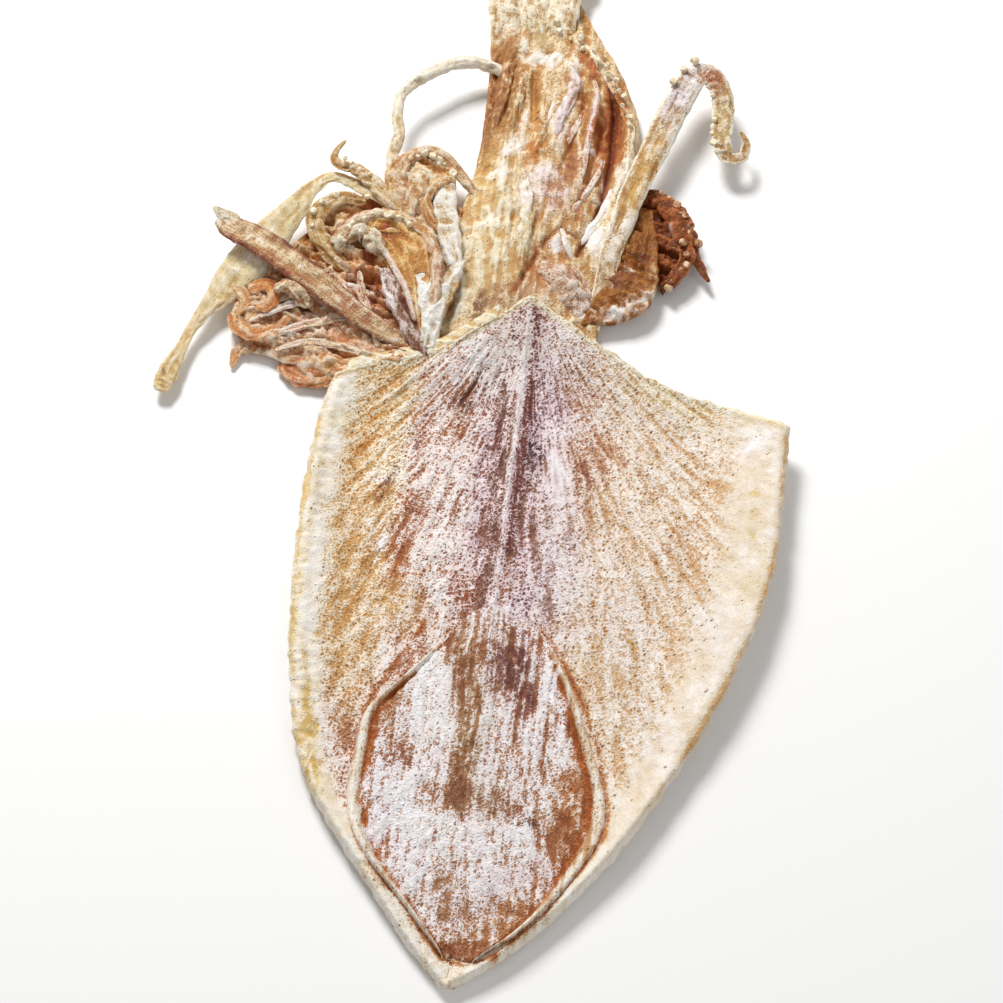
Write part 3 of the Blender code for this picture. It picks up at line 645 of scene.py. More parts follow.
FIN_COLUMNS = 150
FIN_ROWS = 190
FIN_TAIL = 0.035
FIN_TOP = 0.52
FIN_HALF_WIDTH = 28.0
FIN_LENGTH = 90.0
FIN_THICKNESS = 1.1
FIN_ROLL_HEIGHT = 1.5
FIN_LEFT = ((0.03, -0.2), (0.07, -0.52), (0.115, -0.72), (0.165, -0.86), (0.225, -0.84), (0.325, -0.69),
            (0.395, -0.6), (0.45, -0.38), (0.52, -0.1))
FIN_RIGHT = ((0.03, 0.55), (0.08, 0.84), (0.2, 0.87), (0.275, 0.8), (0.375, 0.56), (0.465, 0.35),
             (0.52, 0.18))
FIN_PATCHES = (
    (-19, 42, 8, 12, 10, 0.85, None, (249, 239, 243)),
    (-5, 35, 5, 9, 0, 0.6, None, WHITE_BLOOM),
    (12, 38, 4, 5, 0, 0.5, None, WHITE_BLOOM),
    (17, 84, 3.4, 11, 10, 0.9, None, WHITE_BLOOM),
    (-14, 87, 4, 8, 8, 0.8, None, WHITE_BLOOM),
    (-10, 70, 4, 12, 0, 0.6, None, WHITE_BLOOM),
    (-3, 97, 3, 4, 0, 0.7, None, LILAC_BLOOM),
    (20, 62, 5, 5, 0, 0.5, None, WHITE_BLOOM),
    (-9, 22, 5, 4, 20, 0.5, None, (240, 228, 226)),
    (20, 81, 3, 8, 12, 0.35, None, (240, 226, 228)),
    (5, 73, 3, 5, 0, 0.4, None, WHITE_BLOOM),
    (9, 25, 4, 6, -15, 0.5, None, (222, 202, 206)),
    (17, 30, 5, 4, 20, 0.35, None, (224, 198, 198)),
    (-24, 36, 4, 5, 0, 0.5, None, (232, 212, 216)),
    (-25, 75, 3.4, 9, -15, -0.6, (200, 134, 78)),
    (-27, 60, 2.4, 9, 0, -0.6, (196, 124, 66)),
    (-12, 93, 2, 5, 10, -1, (184, 112, 70)),
    (-24, 78, 4, 9, -20, -0.9, (196, 132, 82), (226, 196, 160)),
    (-16, 80, 2.6, 18, 3, 0.7, None, WHITE_BLOOM),
    (-5.5, 88, 5.6, 15, 4, -1.4, (172, 122, 82), (220, 194, 166)),
    (8.5, 89, 5, 11, 0, -1.2, (136, 88, 78), (214, 186, 192)),
    (-2.2, 64, 3.8, 15, 0, -0.9, (174, 132, 90), (224, 204, 176)),
    (4.5, 86, 4, 7, 0, -0.6, (140, 92, 82), LILAC_BLOOM),
    (27.5, 48, 5.8, 15, 0, -1.4, (193, 123, 70), (228, 187, 146)),
    (24, 73, 1.6, 5, 10, -1, (164, 98, 66)),
    (-3, 50, 3, 7, 15, -0.8, (160, 98, 58)),
    (10, 48, 7, 4, 0, -0.5, (172, 112, 82)),
    (16, 44, 3, 1.6, -30, -0.8, (112, 76, 74)),
    (15, 16, 9, 6, 35, -1, (190, 130, 80), (230, 194, 156)),
    (3, 9, 10, 4.5, 0, -1, (176, 110, 66), (218, 174, 134)),
    (2, 50, 9, 7, 0, 0.05, (170, 124, 90), (222, 200, 182)),
    (-20, 33, 4, 3, 35, -0.5, (190, 120, 62)),
    (-20, 58, 6, 3, -10, -0.6, (166, 106, 80)),
    (12, 78, 3, 6, 0, -0.6, (150, 96, 88)),
    (0, 26, 6, 5, 0, -0.35, (190, 150, 116)),
    (-2, 19, 6, 4, 0, -0.35, (186, 140, 104)),
)


def fin_ridges(x, y):
    """Long streaks down the leaf, crossed by short wrinkles, about -1 to 1."""
    sway = x + 1.2 * ripples(x / 12.0, y / 16.0, 41)
    streaks = 0.9 * crests(sway / 2.2, y / 34.0, 42) + 0.8 * ripples(sway / 3.0, y / 30.0, 43)
    swept = x + 0.25 * (y - 40.0) * np.tanh(x / 12.0)
    flakes = (1.4 * ripples(swept / 7.0, y / 9.0, 44) + 0.7 * crests(swept / 2.6, y / 6.0, 47)
              + 0.9 * ripples(swept / 1.3, y / 2.6, 45))
    low_end = ease(74.0, 54.0, y)
    return 0.62 * streaks * (1.0 - 0.8 * low_end) + 0.42 * flakes * (0.5 + 0.6 * low_end)


def fin_place(s, t):
    """Where on the mantle a point of the leaf lies, as the mantle's u and v."""
    v = FIN_TAIL + (FIN_TOP - FIN_TAIL) * t
    u = curve(FIN_LEFT, v) * (1 - s) / 2 + curve(FIN_RIGHT, v) * (1 + s) / 2
    return u, v


def fin_shape(s, t):
    u, v = fin_place(s, t)
    x, y = u * mantle_half_width(u, v), v * curve(FRONT_EDGE, u)
    skin = mantle_lift(u, v) + SHEET_THICKNESS + mantle_relief(x, y, u, v) \
        - RIDGE_HEIGHT * mantle_ridges(x, y, u, v)
    fade = ease(1.0, 0.85, t)
    inward = (1.0 - abs(s)) * FIN_HALF_WIDTH
    rim = FIN_ROLL_HEIGHT * bump(inward - 1.5, 1.4) * ease(1.0, 0.8, t)
    behind_rim = -0.7 * bump(inward - 3.8, 1.0) * ease(1.0, 0.8, t)
    edge = rounded(np.minimum(inward, t * FIN_LENGTH), EDGE_RADIUS)
    top = skin + (FIN_THICKNESS + rim + behind_rim) * fade * (0.2 + 0.8 * edge) + 0.15 * edge
    top = top + 0.6 * fin_ridges(x, y) * fade * edge * ease(1.6, 4.0, inward)
    return x, y, skin - 1.2, top


def fin_coat(x, y, s, t):
    coat = coat_of(len(x), (190, 132, 88), (250, 238, 238), 0.11, fibre=0.9)
    lay_patches(x, y, FIN_PATCHES, coat, 1.35)
    inward = (1.0 - abs(s)) * FIN_HALF_WIDTH
    sides = ease(1.0, 0.85, t)
    roll = ease(3.2, 2.4, inward) * ease(0.1, 0.6, inward) * sides
    # painted shadow: an orange line just inside the rolled border, where the roll shades the leaf
    groove = bump(inward - 3.6, 0.9) * sides * (1.0 + 0.4 * ripples(x / 5.0, y / 5.0, 46))
    mottle = ripples(x / 3.0, y / 3.0, 48) + ripples(x / 7.0, y / 7.0, 49)
    shift(coat, roll, (214, 172, 124), (240, 226, 204), 0.35 + 0.5 * mottle)
    coat["cover"] -= 1.3 * groove
    shift(coat, np.clip(groove, 0.0, 1.0), (206, 122, 52))
    coat["relief"] = fin_ridges(x, y) * (1.0 - roll)
    coat["grain"] = np.stack([x, y], axis=1)
    coat["specks"] = 0.35 + 0.5 * bump(x - 1.0, 9.0) * ease(70.0, 90.0, y)
    coat["crumbly"] = 1.0 - 0.5 * roll
    return coat


fins = dried_sheet("fin_leaf", FIN_COLUMNS, FIN_ROWS, fin_shape)
settle(fins, fin_coat(*local_points(fins, "s", "t")),
       dried_skin("fin_flaked_bloom", fibre_width=0.8, fibre_length=9.0, crumb=1.0, contrast=1.0,
                  ridge=1.3, depth=0.6))


# ------------------------------------------------------------------------------------------
# The head, with the arms that dried onto it. A flattened column of folded flesh that comes out
# from under the mantle's peak; arms lie along it as ropes, with an open amber hollow between
# them on the right, yellow skin on the left and powder on every crest.
# ------------------------------------------------------------------------------------------

HEAD_COLUMNS = 150
HEAD_ROWS = 300
HEAD_NECK_Y = 178.0
HEAD_END_Y = 322.0
HEAD_HALF_WIDTH = 25.0
HEAD_HEIGHT = 7.2
HEAD_LEFT = ((178, -27), (204, -28.5), (230, -26), (255, -22), (275, -21.5), (299, -23.4), (322, -25.5))
HEAD_RIGHT = ((178, 21), (208, 21.3), (234, 25), (261, 27.5), (276, 26.3), (296, 18.4), (311, 9.5),
              (322, 4))
HEAD_CROWN = ((178, 0.25), (195, 0.45), (207, 0.75), (230, 1), (265, 1), (300, 0.8), (322, 0.35))
ROPE_MIDDLE = ((3.4, 289.9), (5.3, 283.9), (4.2, 276.9), (1.6, 266.3), (0.9, 259.4))
ROPE_INNER = ((10.4, 288), (12.4, 280.4), (12.5, 269.2), (11.3, 258.9), (10.9, 248.8), (9.8, 240.5))
ROPE_OUTER = ((2.6, 304), (9.4, 297), (16, 287.4), (21, 278.9), (23.6, 268.9), (24, 255.4), (22.6, 245.4),
              (20, 233.6), (18.2, 223.8), (16.6, 211))
ROPE_LEFT = ((-9.6, 289.2), (-13, 268.8), (-13.4, 253.2), (-12.9, 234.3))
ROPE_END = ((-22, 322), (-20.1, 312.9), (-16.7, 296), (-18.5, 280), (-19.5, 258))
DARK_GROOVE = ((11, 294), (15.9, 286.4), (18.6, 276.4), (18.9, 257), (17.2, 238), (12, 220))
HOLLOW_EDGE = ((-5, 206), (-2.4, 212.7), (1.8, 224.1), (6, 228), (11, 226))
HEAD_FOLDS = (
    # height, width and line of each fold or, below 0, of each groove
    (1.2, 2.2, ROPE_MIDDLE),
    (1.2, 2.0, ROPE_INNER),
    (1.6, 2.2, ROPE_OUTER),
    (1.2, 2.4, ROPE_LEFT),
    (1.9, 3.0, ROPE_END),
    (-1.7, 0.9, DARK_GROOVE),
    (-0.9, 0.9, HOLLOW_EDGE),
    (1.7, 1.2, ((-7.2, 246.8), (-4.2, 235.6), (-4.4, 221.2), (-4.1, 211.8))),
    (-1.1, 1.0, ((-10, 246), (-8, 232), (-8.2, 220))),
    (1.4, 0.9, ((-15.6, 293.9), (-16.5, 279.7), (-18.2, 268.3))),
    (1.3, 0.9, ((-11.5, 287.3), (-11.5, 275.1), (-12.5, 265.5))),
    (1.3, 0.9, ((-4, 277.7), (-2.7, 264.1), (-4.1, 255.5))),
    (1.2, 1.2, ((-22.4, 284.3), (-21.6, 270.4), (-22.2, 256.6), (-23.6, 244.7))),
    (-1.2, 0.9, ((-8.5, 291), (-7.5, 280), (-6.5, 268), (-8, 256))),
    (-1.1, 0.9, ((-19.5, 299), (-20, 285), (-19.6, 270), (-18.5, 256))),
    (-1.2, 1.0, ((-13, 322), (-11, 310), (-9.5, 300))),
    (-1.2, 1.0, ((-3.5, 321), (-4.5, 312), (-4.6, 303))),
    (-1.4, 0.9, ((12.7, 284.8), (15.4, 272.9), (14.7, 259.3), (13, 245.8))),
    (-1.2, 0.8, ((7.2, 288), (9.4, 276), (6.8, 262), (4, 250))),
    (1.2, 1.2, ((7.1, 216.1), (11.6, 210.4), (16, 204.7))),
    (-1.0, 0.9, ((9, 219), (14, 214), (18, 207))),
)
HEAD_LINES = ((1.8, 0.6, None, ROPE_OUTER), (1.1, 0.4, None, ROPE_INNER), (1.4, 0.4, None, ROPE_MIDDLE),
              (0.9, -1.3, (146, 76, 42), DARK_GROOVE), (0.7, -0.8, (166, 98, 56), HOLLOW_EDGE))
HEAD_PATCHES = (
    (-18, 278, 6.5, 24, -3, -1.2, (170, 114, 60), (212, 174, 124)),
    (-21, 262, 3, 22, 0, -0.8, (166, 102, 50), (214, 178, 126)),
    (-15, 226, 10, 24, 0, 0.35, (214, 184, 124), (230, 217, 186)),
    (-20, 248, 5, 14, -5, 0, (218, 176, 104), (238, 216, 168)),
    (-14, 247, 3, 3.5, 0, 1.1, None, (242, 230, 216)),
    (-13, 256, 2, 4, -20, 1, None, (242, 230, 216)),
    (-9, 268, 1.8, 5, 0, 0.8, None, (238, 220, 206)),
    (-16, 230, 5, 3, 0, 0.5, None, (238, 226, 194)),
    (-5, 240, 3, 7, 0, 0.6, None, (236, 220, 206)),
    (3, 241, 7, 9, 0, -0.05, (180, 126, 90), (226, 200, 192)),
    (15, 262, 4, 20, 0, -0.4, (186, 114, 62)),
    (18, 268, 4.8, 17, -4, -1.8, (184, 94, 32), (206, 134, 70)),
    (20.5, 262, 3, 10, 0, -1, (206, 128, 58)),
    (9, 292, 2.6, 8, 35, -1.2, (190, 110, 56)),
    (8.6, 276, 1.6, 8, 0, -1.1, (196, 126, 74)),
    (6, 262, 1.6, 6, -12, -0.8, (200, 134, 80)),
    (-6.4, 272, 2, 12, 4, -0.9, (214, 156, 82), (238, 204, 148)),
    (8, 252, 3, 5, 0, -0.5, (182, 114, 76)),
    (-5, 256, 3, 4, 0, -0.9, (206, 132, 60)),
    (11.4, 240, 1.2, 10, -5, -0.8, (180, 112, 66)),
    (18, 256, 3.6, 2.4, -20, 1.2, None, (238, 220, 212)),
    (17.5, 244, 1.8, 7, 5, 1.1, None, (236, 220, 212)),
    (22, 253, 1.8, 5, 0, 0.8, None, (236, 220, 206)),
    (12, 264, 1.5, 16, 0, 0.7, None, (228, 212, 212)),
    (3.2, 266, 2.8, 9, 10, 0.3, None, (226, 210, 208)),
    (6, 285, 2, 9, 12, 0.5, None, (228, 212, 210)),
    (-4, 293, 7, 3.5, 0, 0.9, None, (234, 226, 218)),
    (-18, 308, 4, 7, 0, 0.8, None, (230, 222, 204)),
    (-12, 298, 3, 5, 20, 0.7, None, (226, 216, 198)),
    (6, 222, 3, 3, 0, 0.8, None, (242, 228, 220)),
    (14.5, 203, 3, 5, 30, 0.4, (168, 112, 76), (232, 214, 200)),
    (16, 226, 3, 6, 20, 1.3, None, WHITE_BLOOM),
    (-1, 214, 4, 8, 0, -0.6, (200, 134, 82)),
    (7, 215, 5, 5, 0, -0.3, (200, 138, 90)),
    (2, 284, 4, 3, 0, -0.4, (196, 140, 112)),
    (-7, 303, 3.4, 6, 0, -0.2, (200, 176, 132), (226, 210, 174)),
    (-5, 297, 1.6, 1.2, 0, -1.6, (90, 50, 40)),
    (2, 205, 8, 4, 0, 0, (196, 150, 108), (226, 204, 178)),
    # painted shadow: the dark fold between the white collar and the head
    (-15, 200, 2.2, 5, -20, -0.8, (128, 84, 66)),
    (-20, 203, 3, 7, -10, 0.6, (206, 178, 136), (232, 216, 180)),
    (-8, 203, 4, 4, 0, -0.4, (172, 122, 90)),
    (21, 291, 3, 5, 40, 0.2, None, (228, 214, 184)),
    (23, 232, 2.4, 10, 0, -0.8, (220, 168, 84)),
    (-10, 258, 3.4, 3.4, 20, 0.9, None, (242, 228, 216)),
    (0, 247, 4.6, 5, 0, 0.4, None, (236, 216, 210)),
)


def head_ridges(x, y):
    """Wrinkled strands along the head, about -1 to 1."""
    sway = x + 1.6 * ripples(x / 10.0, y / 16.0, 51)
    strands = 0.8 * crests(sway / 4.4, y / 22.0, 52) + 0.6 * ripples(sway / 2.6, y / 12.0, 53)
    crackle = crests(x / 4.4, y / 6.0, 54) * 0.9 + 0.6 * ripples(x / 1.5, y / 1.7, 55)
    return 0.5 * strands + 0.45 * crackle


def head_shape(s, t):
    y = HEAD_NECK_Y + (HEAD_END_Y - HEAD_NECK_Y) * t
    x = curve(HEAD_LEFT, y) * (1 - s) / 2 + curve(HEAD_RIGHT, y) * (1 + s) / 2
    inside = ease(1.0, 0.9, abs(s)) * ease(0.08, 0.25, t)
    crown = HEAD_HEIGHT * curve(HEAD_CROWN, y) * (1.0 - abs(s) ** 2.6) ** 0.7
    folds = sum(height * bump(from_line(x, y, line), width) for height, width, line in HEAD_FOLDS)
    hollow = -2.6 * soft_spot(x - 18.6, y - 269.0, 4.2, 12.0, -4.0)
    hollow += -1.4 * soft_spot(x - 2.0, y - 217.0, 6.0, 8.0, 0.0)
    low = 1.4 * ease(0.8, 1.0, abs(s))
    edge = rounded((1.0 - abs(s)) * HEAD_HALF_WIDTH, EDGE_RADIUS) * ease(0.0, 0.06, t)
    x = x + 0.6 * ripples(y / 6.0, s, 56) * ease(0.9, 1.0, abs(s)) * np.sign(s)
    top = 2.0 * edge + low + crown + (folds + hollow) * inside
    return x, y, low, top + 0.75 * head_ridges(x, y) * ease(1.0, 0.94, abs(s)) * edge + 0.2


def head_coat(x, y):
    coat = coat_of(len(x), (196, 144, 82), (234, 208, 164), -0.2, fibre=0.75, specks=0.12)
    lay_patches(x, y, HEAD_PATCHES, coat)
    lay_lines(x, y, HEAD_LINES, coat)
    coat["relief"] = head_ridges(x, y)
    coat["grain"] = np.stack([x, y], axis=1)
    coat["crumbly"] *= 0.78 - 0.35 * soft_spot(x + 16.0, y - 228.0, 10.0, 26.0, 0.0)
    return coat


head = dried_sheet("head_column", HEAD_COLUMNS, HEAD_ROWS, head_shape)
settle(head, head_coat(*local_points(head)),
       dried_skin("head_folds", fibre_width=0.8, fibre_length=8.0, crumb=0.9, contrast=0.75, ridge=0.85,
                  depth=0.5, gloss=0.36))


# ------------------------------------------------------------------------------------------
# The arms' ends beyond the head. Three of the folded arms run on past the column and taper out
# flat on the floor; they are the same flesh, rolled into thin ropes.
# ------------------------------------------------------------------------------------------

LIMB_SIDES = 26
LIMB_RINGS_A_MM = 1.6
LIMB_CLEARANCE = 0.4


def evenly(values, t):
    """Smooth value at t, 0 to 1, through values spaced evenly."""
    return curve(list(zip(np.linspace(0.0, 1.0, len(values)), values)), t)


def on_route(route, t):
    """The route's point at each t, 0 to 1, as rows of x, y, z."""
    return np.stack([evenly([point[axis] for point in route], t) for axis in range(3)], axis=-1)


def limb_frame(route, t):
    """Middle points of a limb, and its sideways and upward directions."""
    ahead = on_route(route, np.minimum(t + 0.01, 1.0)) - on_route(route, np.maximum(t - 0.01, 0.0))
    side = np.cross(ahead, (0.0, 0.0, 1.0))
    side /= np.linalg.norm(side, axis=-1, keepdims=True)
    up = np.cross(side, ahead)
    return on_route(route, t), side, up / np.linalg.norm(up, axis=-1, keepdims=True)


# each arm's route by its name, for the rows of suckers that follow it
limb_routes = {}


def dried_limb(name, route, half_widths, flatness, skin, stain, bloom, cover, patches=(),
               edge=0.0, edge_stain=None, edge_bloom=None, wrinkle=0.35, keel=1.0, trough=0.0,
               specks=0.06, pattern=0):
    """An arm: a grid rolled into a tube along its route, welded, wrinkled and coated.

    edge is the bloom added along its two sides; keel above 1 pinches them thin, and trough
    sinks its upper face between them.
    """
    limb_routes[name] = route
    length = sum(math.dist(a, b) for a, b in zip(route, route[1:]))
    mesh = bmesh.new()
    bmesh.ops.create_grid(mesh, x_segments=LIMB_SIDES, size=1.0,
                          y_segments=max(12, round(length * LIMB_RINGS_A_MM)))
    flat = np.array([vert.co.xy for vert in mesh.verts])
    angle, t = math.pi * (flat[:, 0] - 0.5), flat[:, 1] * 0.5 + 0.5
    middle, side, up = limb_frame(route, t)
    across, rise, along = np.cos(angle), np.sin(angle), t * length
    cap = rounded(np.minimum(along, length - along), 1.4)
    width = evenly(half_widths, t)
    ring = crests(along / 3.6 + 0.5 * across, rise * 0.8 + across, 60 + pattern)
    lumps = ripples(along / 2.0, across * 1.4 + rise * 0.7, 80 + pattern)
    strand = crests(across * width / 2.4 + 9.0 * (rise > 0), along / 14.0, 100 + pattern)
    relief = wrinkle * (0.4 * ring + 0.7 * lumps + 0.5 * strand) * np.minimum(1.0, width / 2.0)
    reach = np.maximum(width + 0.6 * relief, 0.2) * cap
    sunk = 1.0 - trough * bump(across, 0.55) * (rise > 0)
    lift = np.sign(rise) * abs(rise) ** keel * np.maximum(width * flatness * sunk + relief, 0.15) * cap
    sway = 0.35 * ripples(along / 6.0, pattern + 0.5, 61) * np.minimum(1.0, width / 2.0)
    point = middle + side * (across * reach + sway)[:, None] + up * lift[:, None]
    point[:, 2] = np.maximum(point[:, 2], LIMB_CLEARANCE)
    kept = {"side": across * width, "along": along, "relief": relief / max(wrinkle, 0.05),
            "edge": abs(across) * np.where(rise > -0.3, 1.0, 0.5)}
    limb = finished(name, mesh, placed(*point.T), kept, weld=True)

    x, y, sides, along, relief, outer = local_points(limb, *kept)
    coat = coat_of(len(x), stain, bloom, cover, fibre=0.7, specks=specks)
    lay_patches(x, y, patches, coat)
    rim = ease(0.72, 0.95, outer)
    coat["cover"] += edge * rim
    shift(coat, rim, edge_stain, edge_bloom)
    coat["relief"] = np.clip(relief, -1.5, 1.5)
    coat["grain"] = np.stack([sides, along], axis=1)
    coat["crumbly"] *= 0.7
    settle(limb, coat, skin)


def on_head(line, above):
    """The line's points with a height, so far above the head's skin."""
    x, y = np.array(line).T
    left, right = curve(HEAD_LEFT, y), curve(HEAD_RIGHT, y)
    across = (2.0 * x - left - right) / (right - left)
    along = (y - HEAD_NECK_Y) / (HEAD_END_Y - HEAD_NECK_Y)
    sunk_ends = 1.6 * abs(np.linspace(-1.0, 1.0, len(x))) ** 5
    return tuple(zip(x, y, head_shape(across, along)[3] + above - sunk_ends))


ROPE_SKIN = dried_skin("rope_flesh", fibre_width=0.7, fibre_length=6.0, crumb=0.9, contrast=0.9,
                       ridge=0.8, depth=0.5, gloss=0.34)
END_ARMS = (
    ("arm_end_left", ((-18, 296, 3), (-20, 313, 6.5), (-22, 330, 5.5), (-26.5, 344, 4), (-33.5, 352, 3)),
     (2.6, 5.4, 4.4, 2.6, 0.8)),
    ("arm_end_middle", ((-10, 296, 3), (-10.5, 314, 7), (-9, 333, 6), (-10.5, 348, 4.6), (-15.5, 356, 3.4)),
     (2.4, 4.6, 4, 2.4, 0.7)),
    ("arm_end_right", ((-1, 294, 3), (-1.6, 311, 7), (1.5, 327, 6), (8.5, 339, 4.6), (17, 343, 3.4)),
     (2.4, 5, 4, 2.4, 0.7)),
)
for number, (name, route, half_widths) in enumerate(END_ARMS):
    dried_limb(name, route, half_widths, 0.58, ROPE_SKIN, (194, 150, 96), (234, 218, 184), 0.1,
               edge=0.4, wrinkle=0.6, trough=0.25, pattern=number)
LAID_ROPES = (
    ("outer", ROPE_OUTER, (0.8, 1.3, 1.5, 1.6, 1.6, 1.7, 1.7, 1.6, 1.3, 0.8), 0.1, (206, 154, 90),
     (240, 222, 182), 0.45),
    ("inner", ROPE_INNER, (0.5, 0.8, 0.9, 0.9, 0.8, 0.4), 0.3, (196, 130, 82), (232, 206, 180), 0.25),
    ("middle", ROPE_MIDDLE, (0.7, 1.6, 1.8, 1.5, 0.7), -0.3, (196, 136, 100), (226, 202, 194), 0.15),
    ("slip", ((8.8, 279), (8.2, 273), (6.6, 266), (3.2, 256.3)), (0.5, 1.1, 1.1, 0.5), -0.2, (206, 146, 96),
     (240, 222, 208), 0.55),
    ("low", ((20.8, 249), (20.3, 243.3), (18, 235), (13.6, 227.4), (10.6, 223.6)),
     (0.6, 1.4, 1.5, 1.4, 0.6), -0.3, (206, 150, 100), (244, 232, 222), 0.65),
    ("left_fold", ((-13.5, 299), (-15.6, 290), (-16.4, 279.7), (-17.8, 268.3), (-18.6, 258)),
     (0.6, 1.5, 1.7, 1.5, 0.6), -0.8, (190, 132, 76), (232, 206, 164), 0.05),
    ("left_seam", ((-9.5, 295), (-11.2, 285), (-11.4, 275.1), (-12.4, 264)), (0.5, 1.3, 1.3, 0.6), -0.7,
     (196, 138, 80), (234, 210, 170), 0.15),
    ("centre_seam", ((-4, 283), (-3.6, 273), (-2.8, 264.1), (-4.1, 253.5)), (0.5, 1.2, 1.2, 0.6), -0.6,
     (200, 140, 78), (236, 210, 168), 0.05),
    ("left_border", ((-22, 300), (-21, 284), (-20.4, 268), (-21.2, 252), (-23, 240)),
     (0.5, 1.1, 1.2, 1.1, 0.5), -0.2, (196, 138, 76), (234, 206, 158), 0.15),
    ("fine_seam", ((-0.4, 282), (-0.6, 274), (-2, 266), (-2.4, 258)), (0.4, 0.7, 0.7, 0.4), 0.1,
     (206, 150, 100), (242, 224, 208), 0.55),
    ("branch", ((16.4, 262), (16.2, 253), (13.4, 244), (9.6, 236), (8.4, 229)), (0.4, 0.8, 0.9, 0.8, 0.4),
     -0.1, (206, 146, 96), (240, 222, 208), 0.45),
    ("low_seam", ((3.4, 234), (6.6, 228), (8.6, 222), (12.4, 216)), (0.4, 0.8, 0.8, 0.4), 0.1,
     (206, 150, 104), (240, 224, 212), 0.55),
    ("throat", ((-8.2, 250), (-6.4, 243), (-4.4, 234), (-4.6, 222), (-4.2, 211)), (0.6, 1.7, 2, 1.8, 0.8),
     -1.0, (212, 172, 100), (234, 216, 168), 0.15),
    ("neck_fold", ((-1, 217), (4, 214.5), (9, 210.5), (13, 204.5), (15, 198)), (2.2, 4.6, 5.2, 4.6, 2.6),
     -1.6, (178, 122, 84), (226, 201, 180), -0.15),
)
for number, (name, line, half_widths, above, stain, bloom, cover) in enumerate(LAID_ROPES):
    dried_limb("head_rope_" + name, on_head(line, above), half_widths, 0.55, ROPE_SKIN, stain, bloom,
               cover, HEAD_PATCHES, wrinkle=0.3 + 0.17 * max(half_widths), pattern=40 + number)


# ------------------------------------------------------------------------------------------
# The left bundle. Arms and the torn skin between them, dried together in a flat red-brown mat:
# a web below, thin strands and curls over it, and a short stub at its lower edge.
# ------------------------------------------------------------------------------------------

BUNDLE_PATCHES = (
    (-58, 190, 12, 7, 60, -0.2, (196, 108, 70), (238, 198, 164)),
    (-50, 196, 6, 5, 0, -0.4, (156, 78, 52)),
    (-62, 184, 10, 3, 80, 0.2, (214, 136, 88), (242, 210, 172)),
    (-55, 178, 10, 3, 80, 0, (216, 140, 86), (240, 204, 156)),
    (-73, 181, 6, 3, 60, 0.1, (210, 136, 86), (240, 208, 170)),
    (-84, 188, 6, 5, 20, 0, (220, 144, 82), (242, 200, 146)),
    (-80, 200, 6, 4, 0, -0.1, (212, 138, 86), (238, 196, 152)),
    (-68, 214, 6, 12, -10, -0.3, (200, 146, 86), (230, 198, 146)),
    (-60, 224, 6, 6, 0, -0.1, (208, 156, 98), (232, 204, 152)),
    (-50, 213, 3, 3, 0, -1, (150, 70, 48)),
    (-52, 203, 4, 4, 0, -0.5, (176, 102, 68)),
    (-47, 200, 3, 4, 0, -0.8, (158, 84, 58)),
    (-36, 181, 5, 3, 0, -0.9, (184, 100, 56)),
    (-44, 232, 5, 8, 0, -0.4, (208, 148, 78), (236, 200, 142)),
    (-34, 226, 5, 10, 0, -0.2, (214, 154, 92), (238, 212, 168)),
    (-48, 237, 4, 4, 0, 0.5, None, (234, 212, 198)),
    (-57, 197, 10, 1.4, 60, 0.6, None, (240, 216, 200)),
    (-66, 190, 12, 1.2, 70, 0.5, None, (240, 214, 194)),
)


WEB_HALF_WIDTH = 20.0
WEB_LENGTH = 30.0


def web_shape(near, far, thickness, swell, rough, pleats, pattern):
    """A sheet between two lines of points, its middle raised, its skin wrinkled and pleated."""
    def shape(s, t):
        along = s * 0.5 + 0.5
        x, y, z = (on_route(near, along) * (1.0 - t)[:, None] + on_route(far, along) * t[:, None]).T
        # about how far each point is from the web's edge
        edge = np.minimum((1.0 - abs(s)) * WEB_HALF_WIDTH, np.minimum(t, 1.0 - t) * WEB_LENGTH)
        ridges = web_ridges(x, y, s, t, pleats, pattern)
        top = z + swell * (1.0 - s * s) * np.sin(math.pi * t) + rough * ridges * ease(0.0, 2.0, edge)
        ragged = 0.8 * ripples(x / 3.0, y / 3.0, pattern + 3) * ease(1.5, 0.0, edge)
        half = 0.5 * thickness * rounded(edge, EDGE_RADIUS) + 0.15
        top = top - 0.5 * thickness + half
        return x + ragged, y + ragged, np.maximum(z - 0.5 * thickness - half, LIMB_CLEARANCE), \
            np.maximum(top, LIMB_CLEARANCE + 0.3)
    return shape


def web_ridges(x, y, s, t, pleats, pattern):
    """Creased skin, drawn out along the arms, and pleats along its long sides, about -1 to 1."""
    lengthwise, across = 0.9 * x - 0.3 * y, 0.3 * x + 0.9 * y
    creases = 0.8 * crests(lengthwise / 11.0, across / 3.0, pattern)
    creases += 0.7 * ripples(x / 3.4, y / 3.0, pattern + 1)
    creases += 0.4 * ripples(x / 1.4, y / 1.3, pattern + 2)
    if pleats:
        creases = 0.4 * creases + 0.8 * crests(t * pleats, s * 1.6, pattern + 4)
    return creases + 0.14 * crests(x / 1.8, y / 1.6, pattern + 5)


def dried_web(name, near, far, thickness, swell, skin, stain, bloom, cover, patches=(),
              rough=0.5, pleats=0.0, size=(70, 60), pattern=120, turn=0.0):
    """A web of skin between arms; turn is the way its fibres run, in degrees from y."""
    web = dried_sheet(name, *size, web_shape(near, far, thickness, swell, rough, pleats, pattern))
    x, y, s, t = local_points(web, "s", "t")
    coat = coat_of(len(x), stain, bloom, cover, fibre=0.8, specks=0.08)
    lay_patches(x, y, patches, coat)
    coat["relief"] = web_ridges(x, y, s, t, pleats, pattern)
    coat["crumbly"] *= 0.7
    way = math.radians(turn)
    coat["grain"] = np.stack([x * math.cos(way) + y * math.sin(way),
                              y * math.cos(way) - x * math.sin(way)], axis=1)
    settle(web, coat, skin)
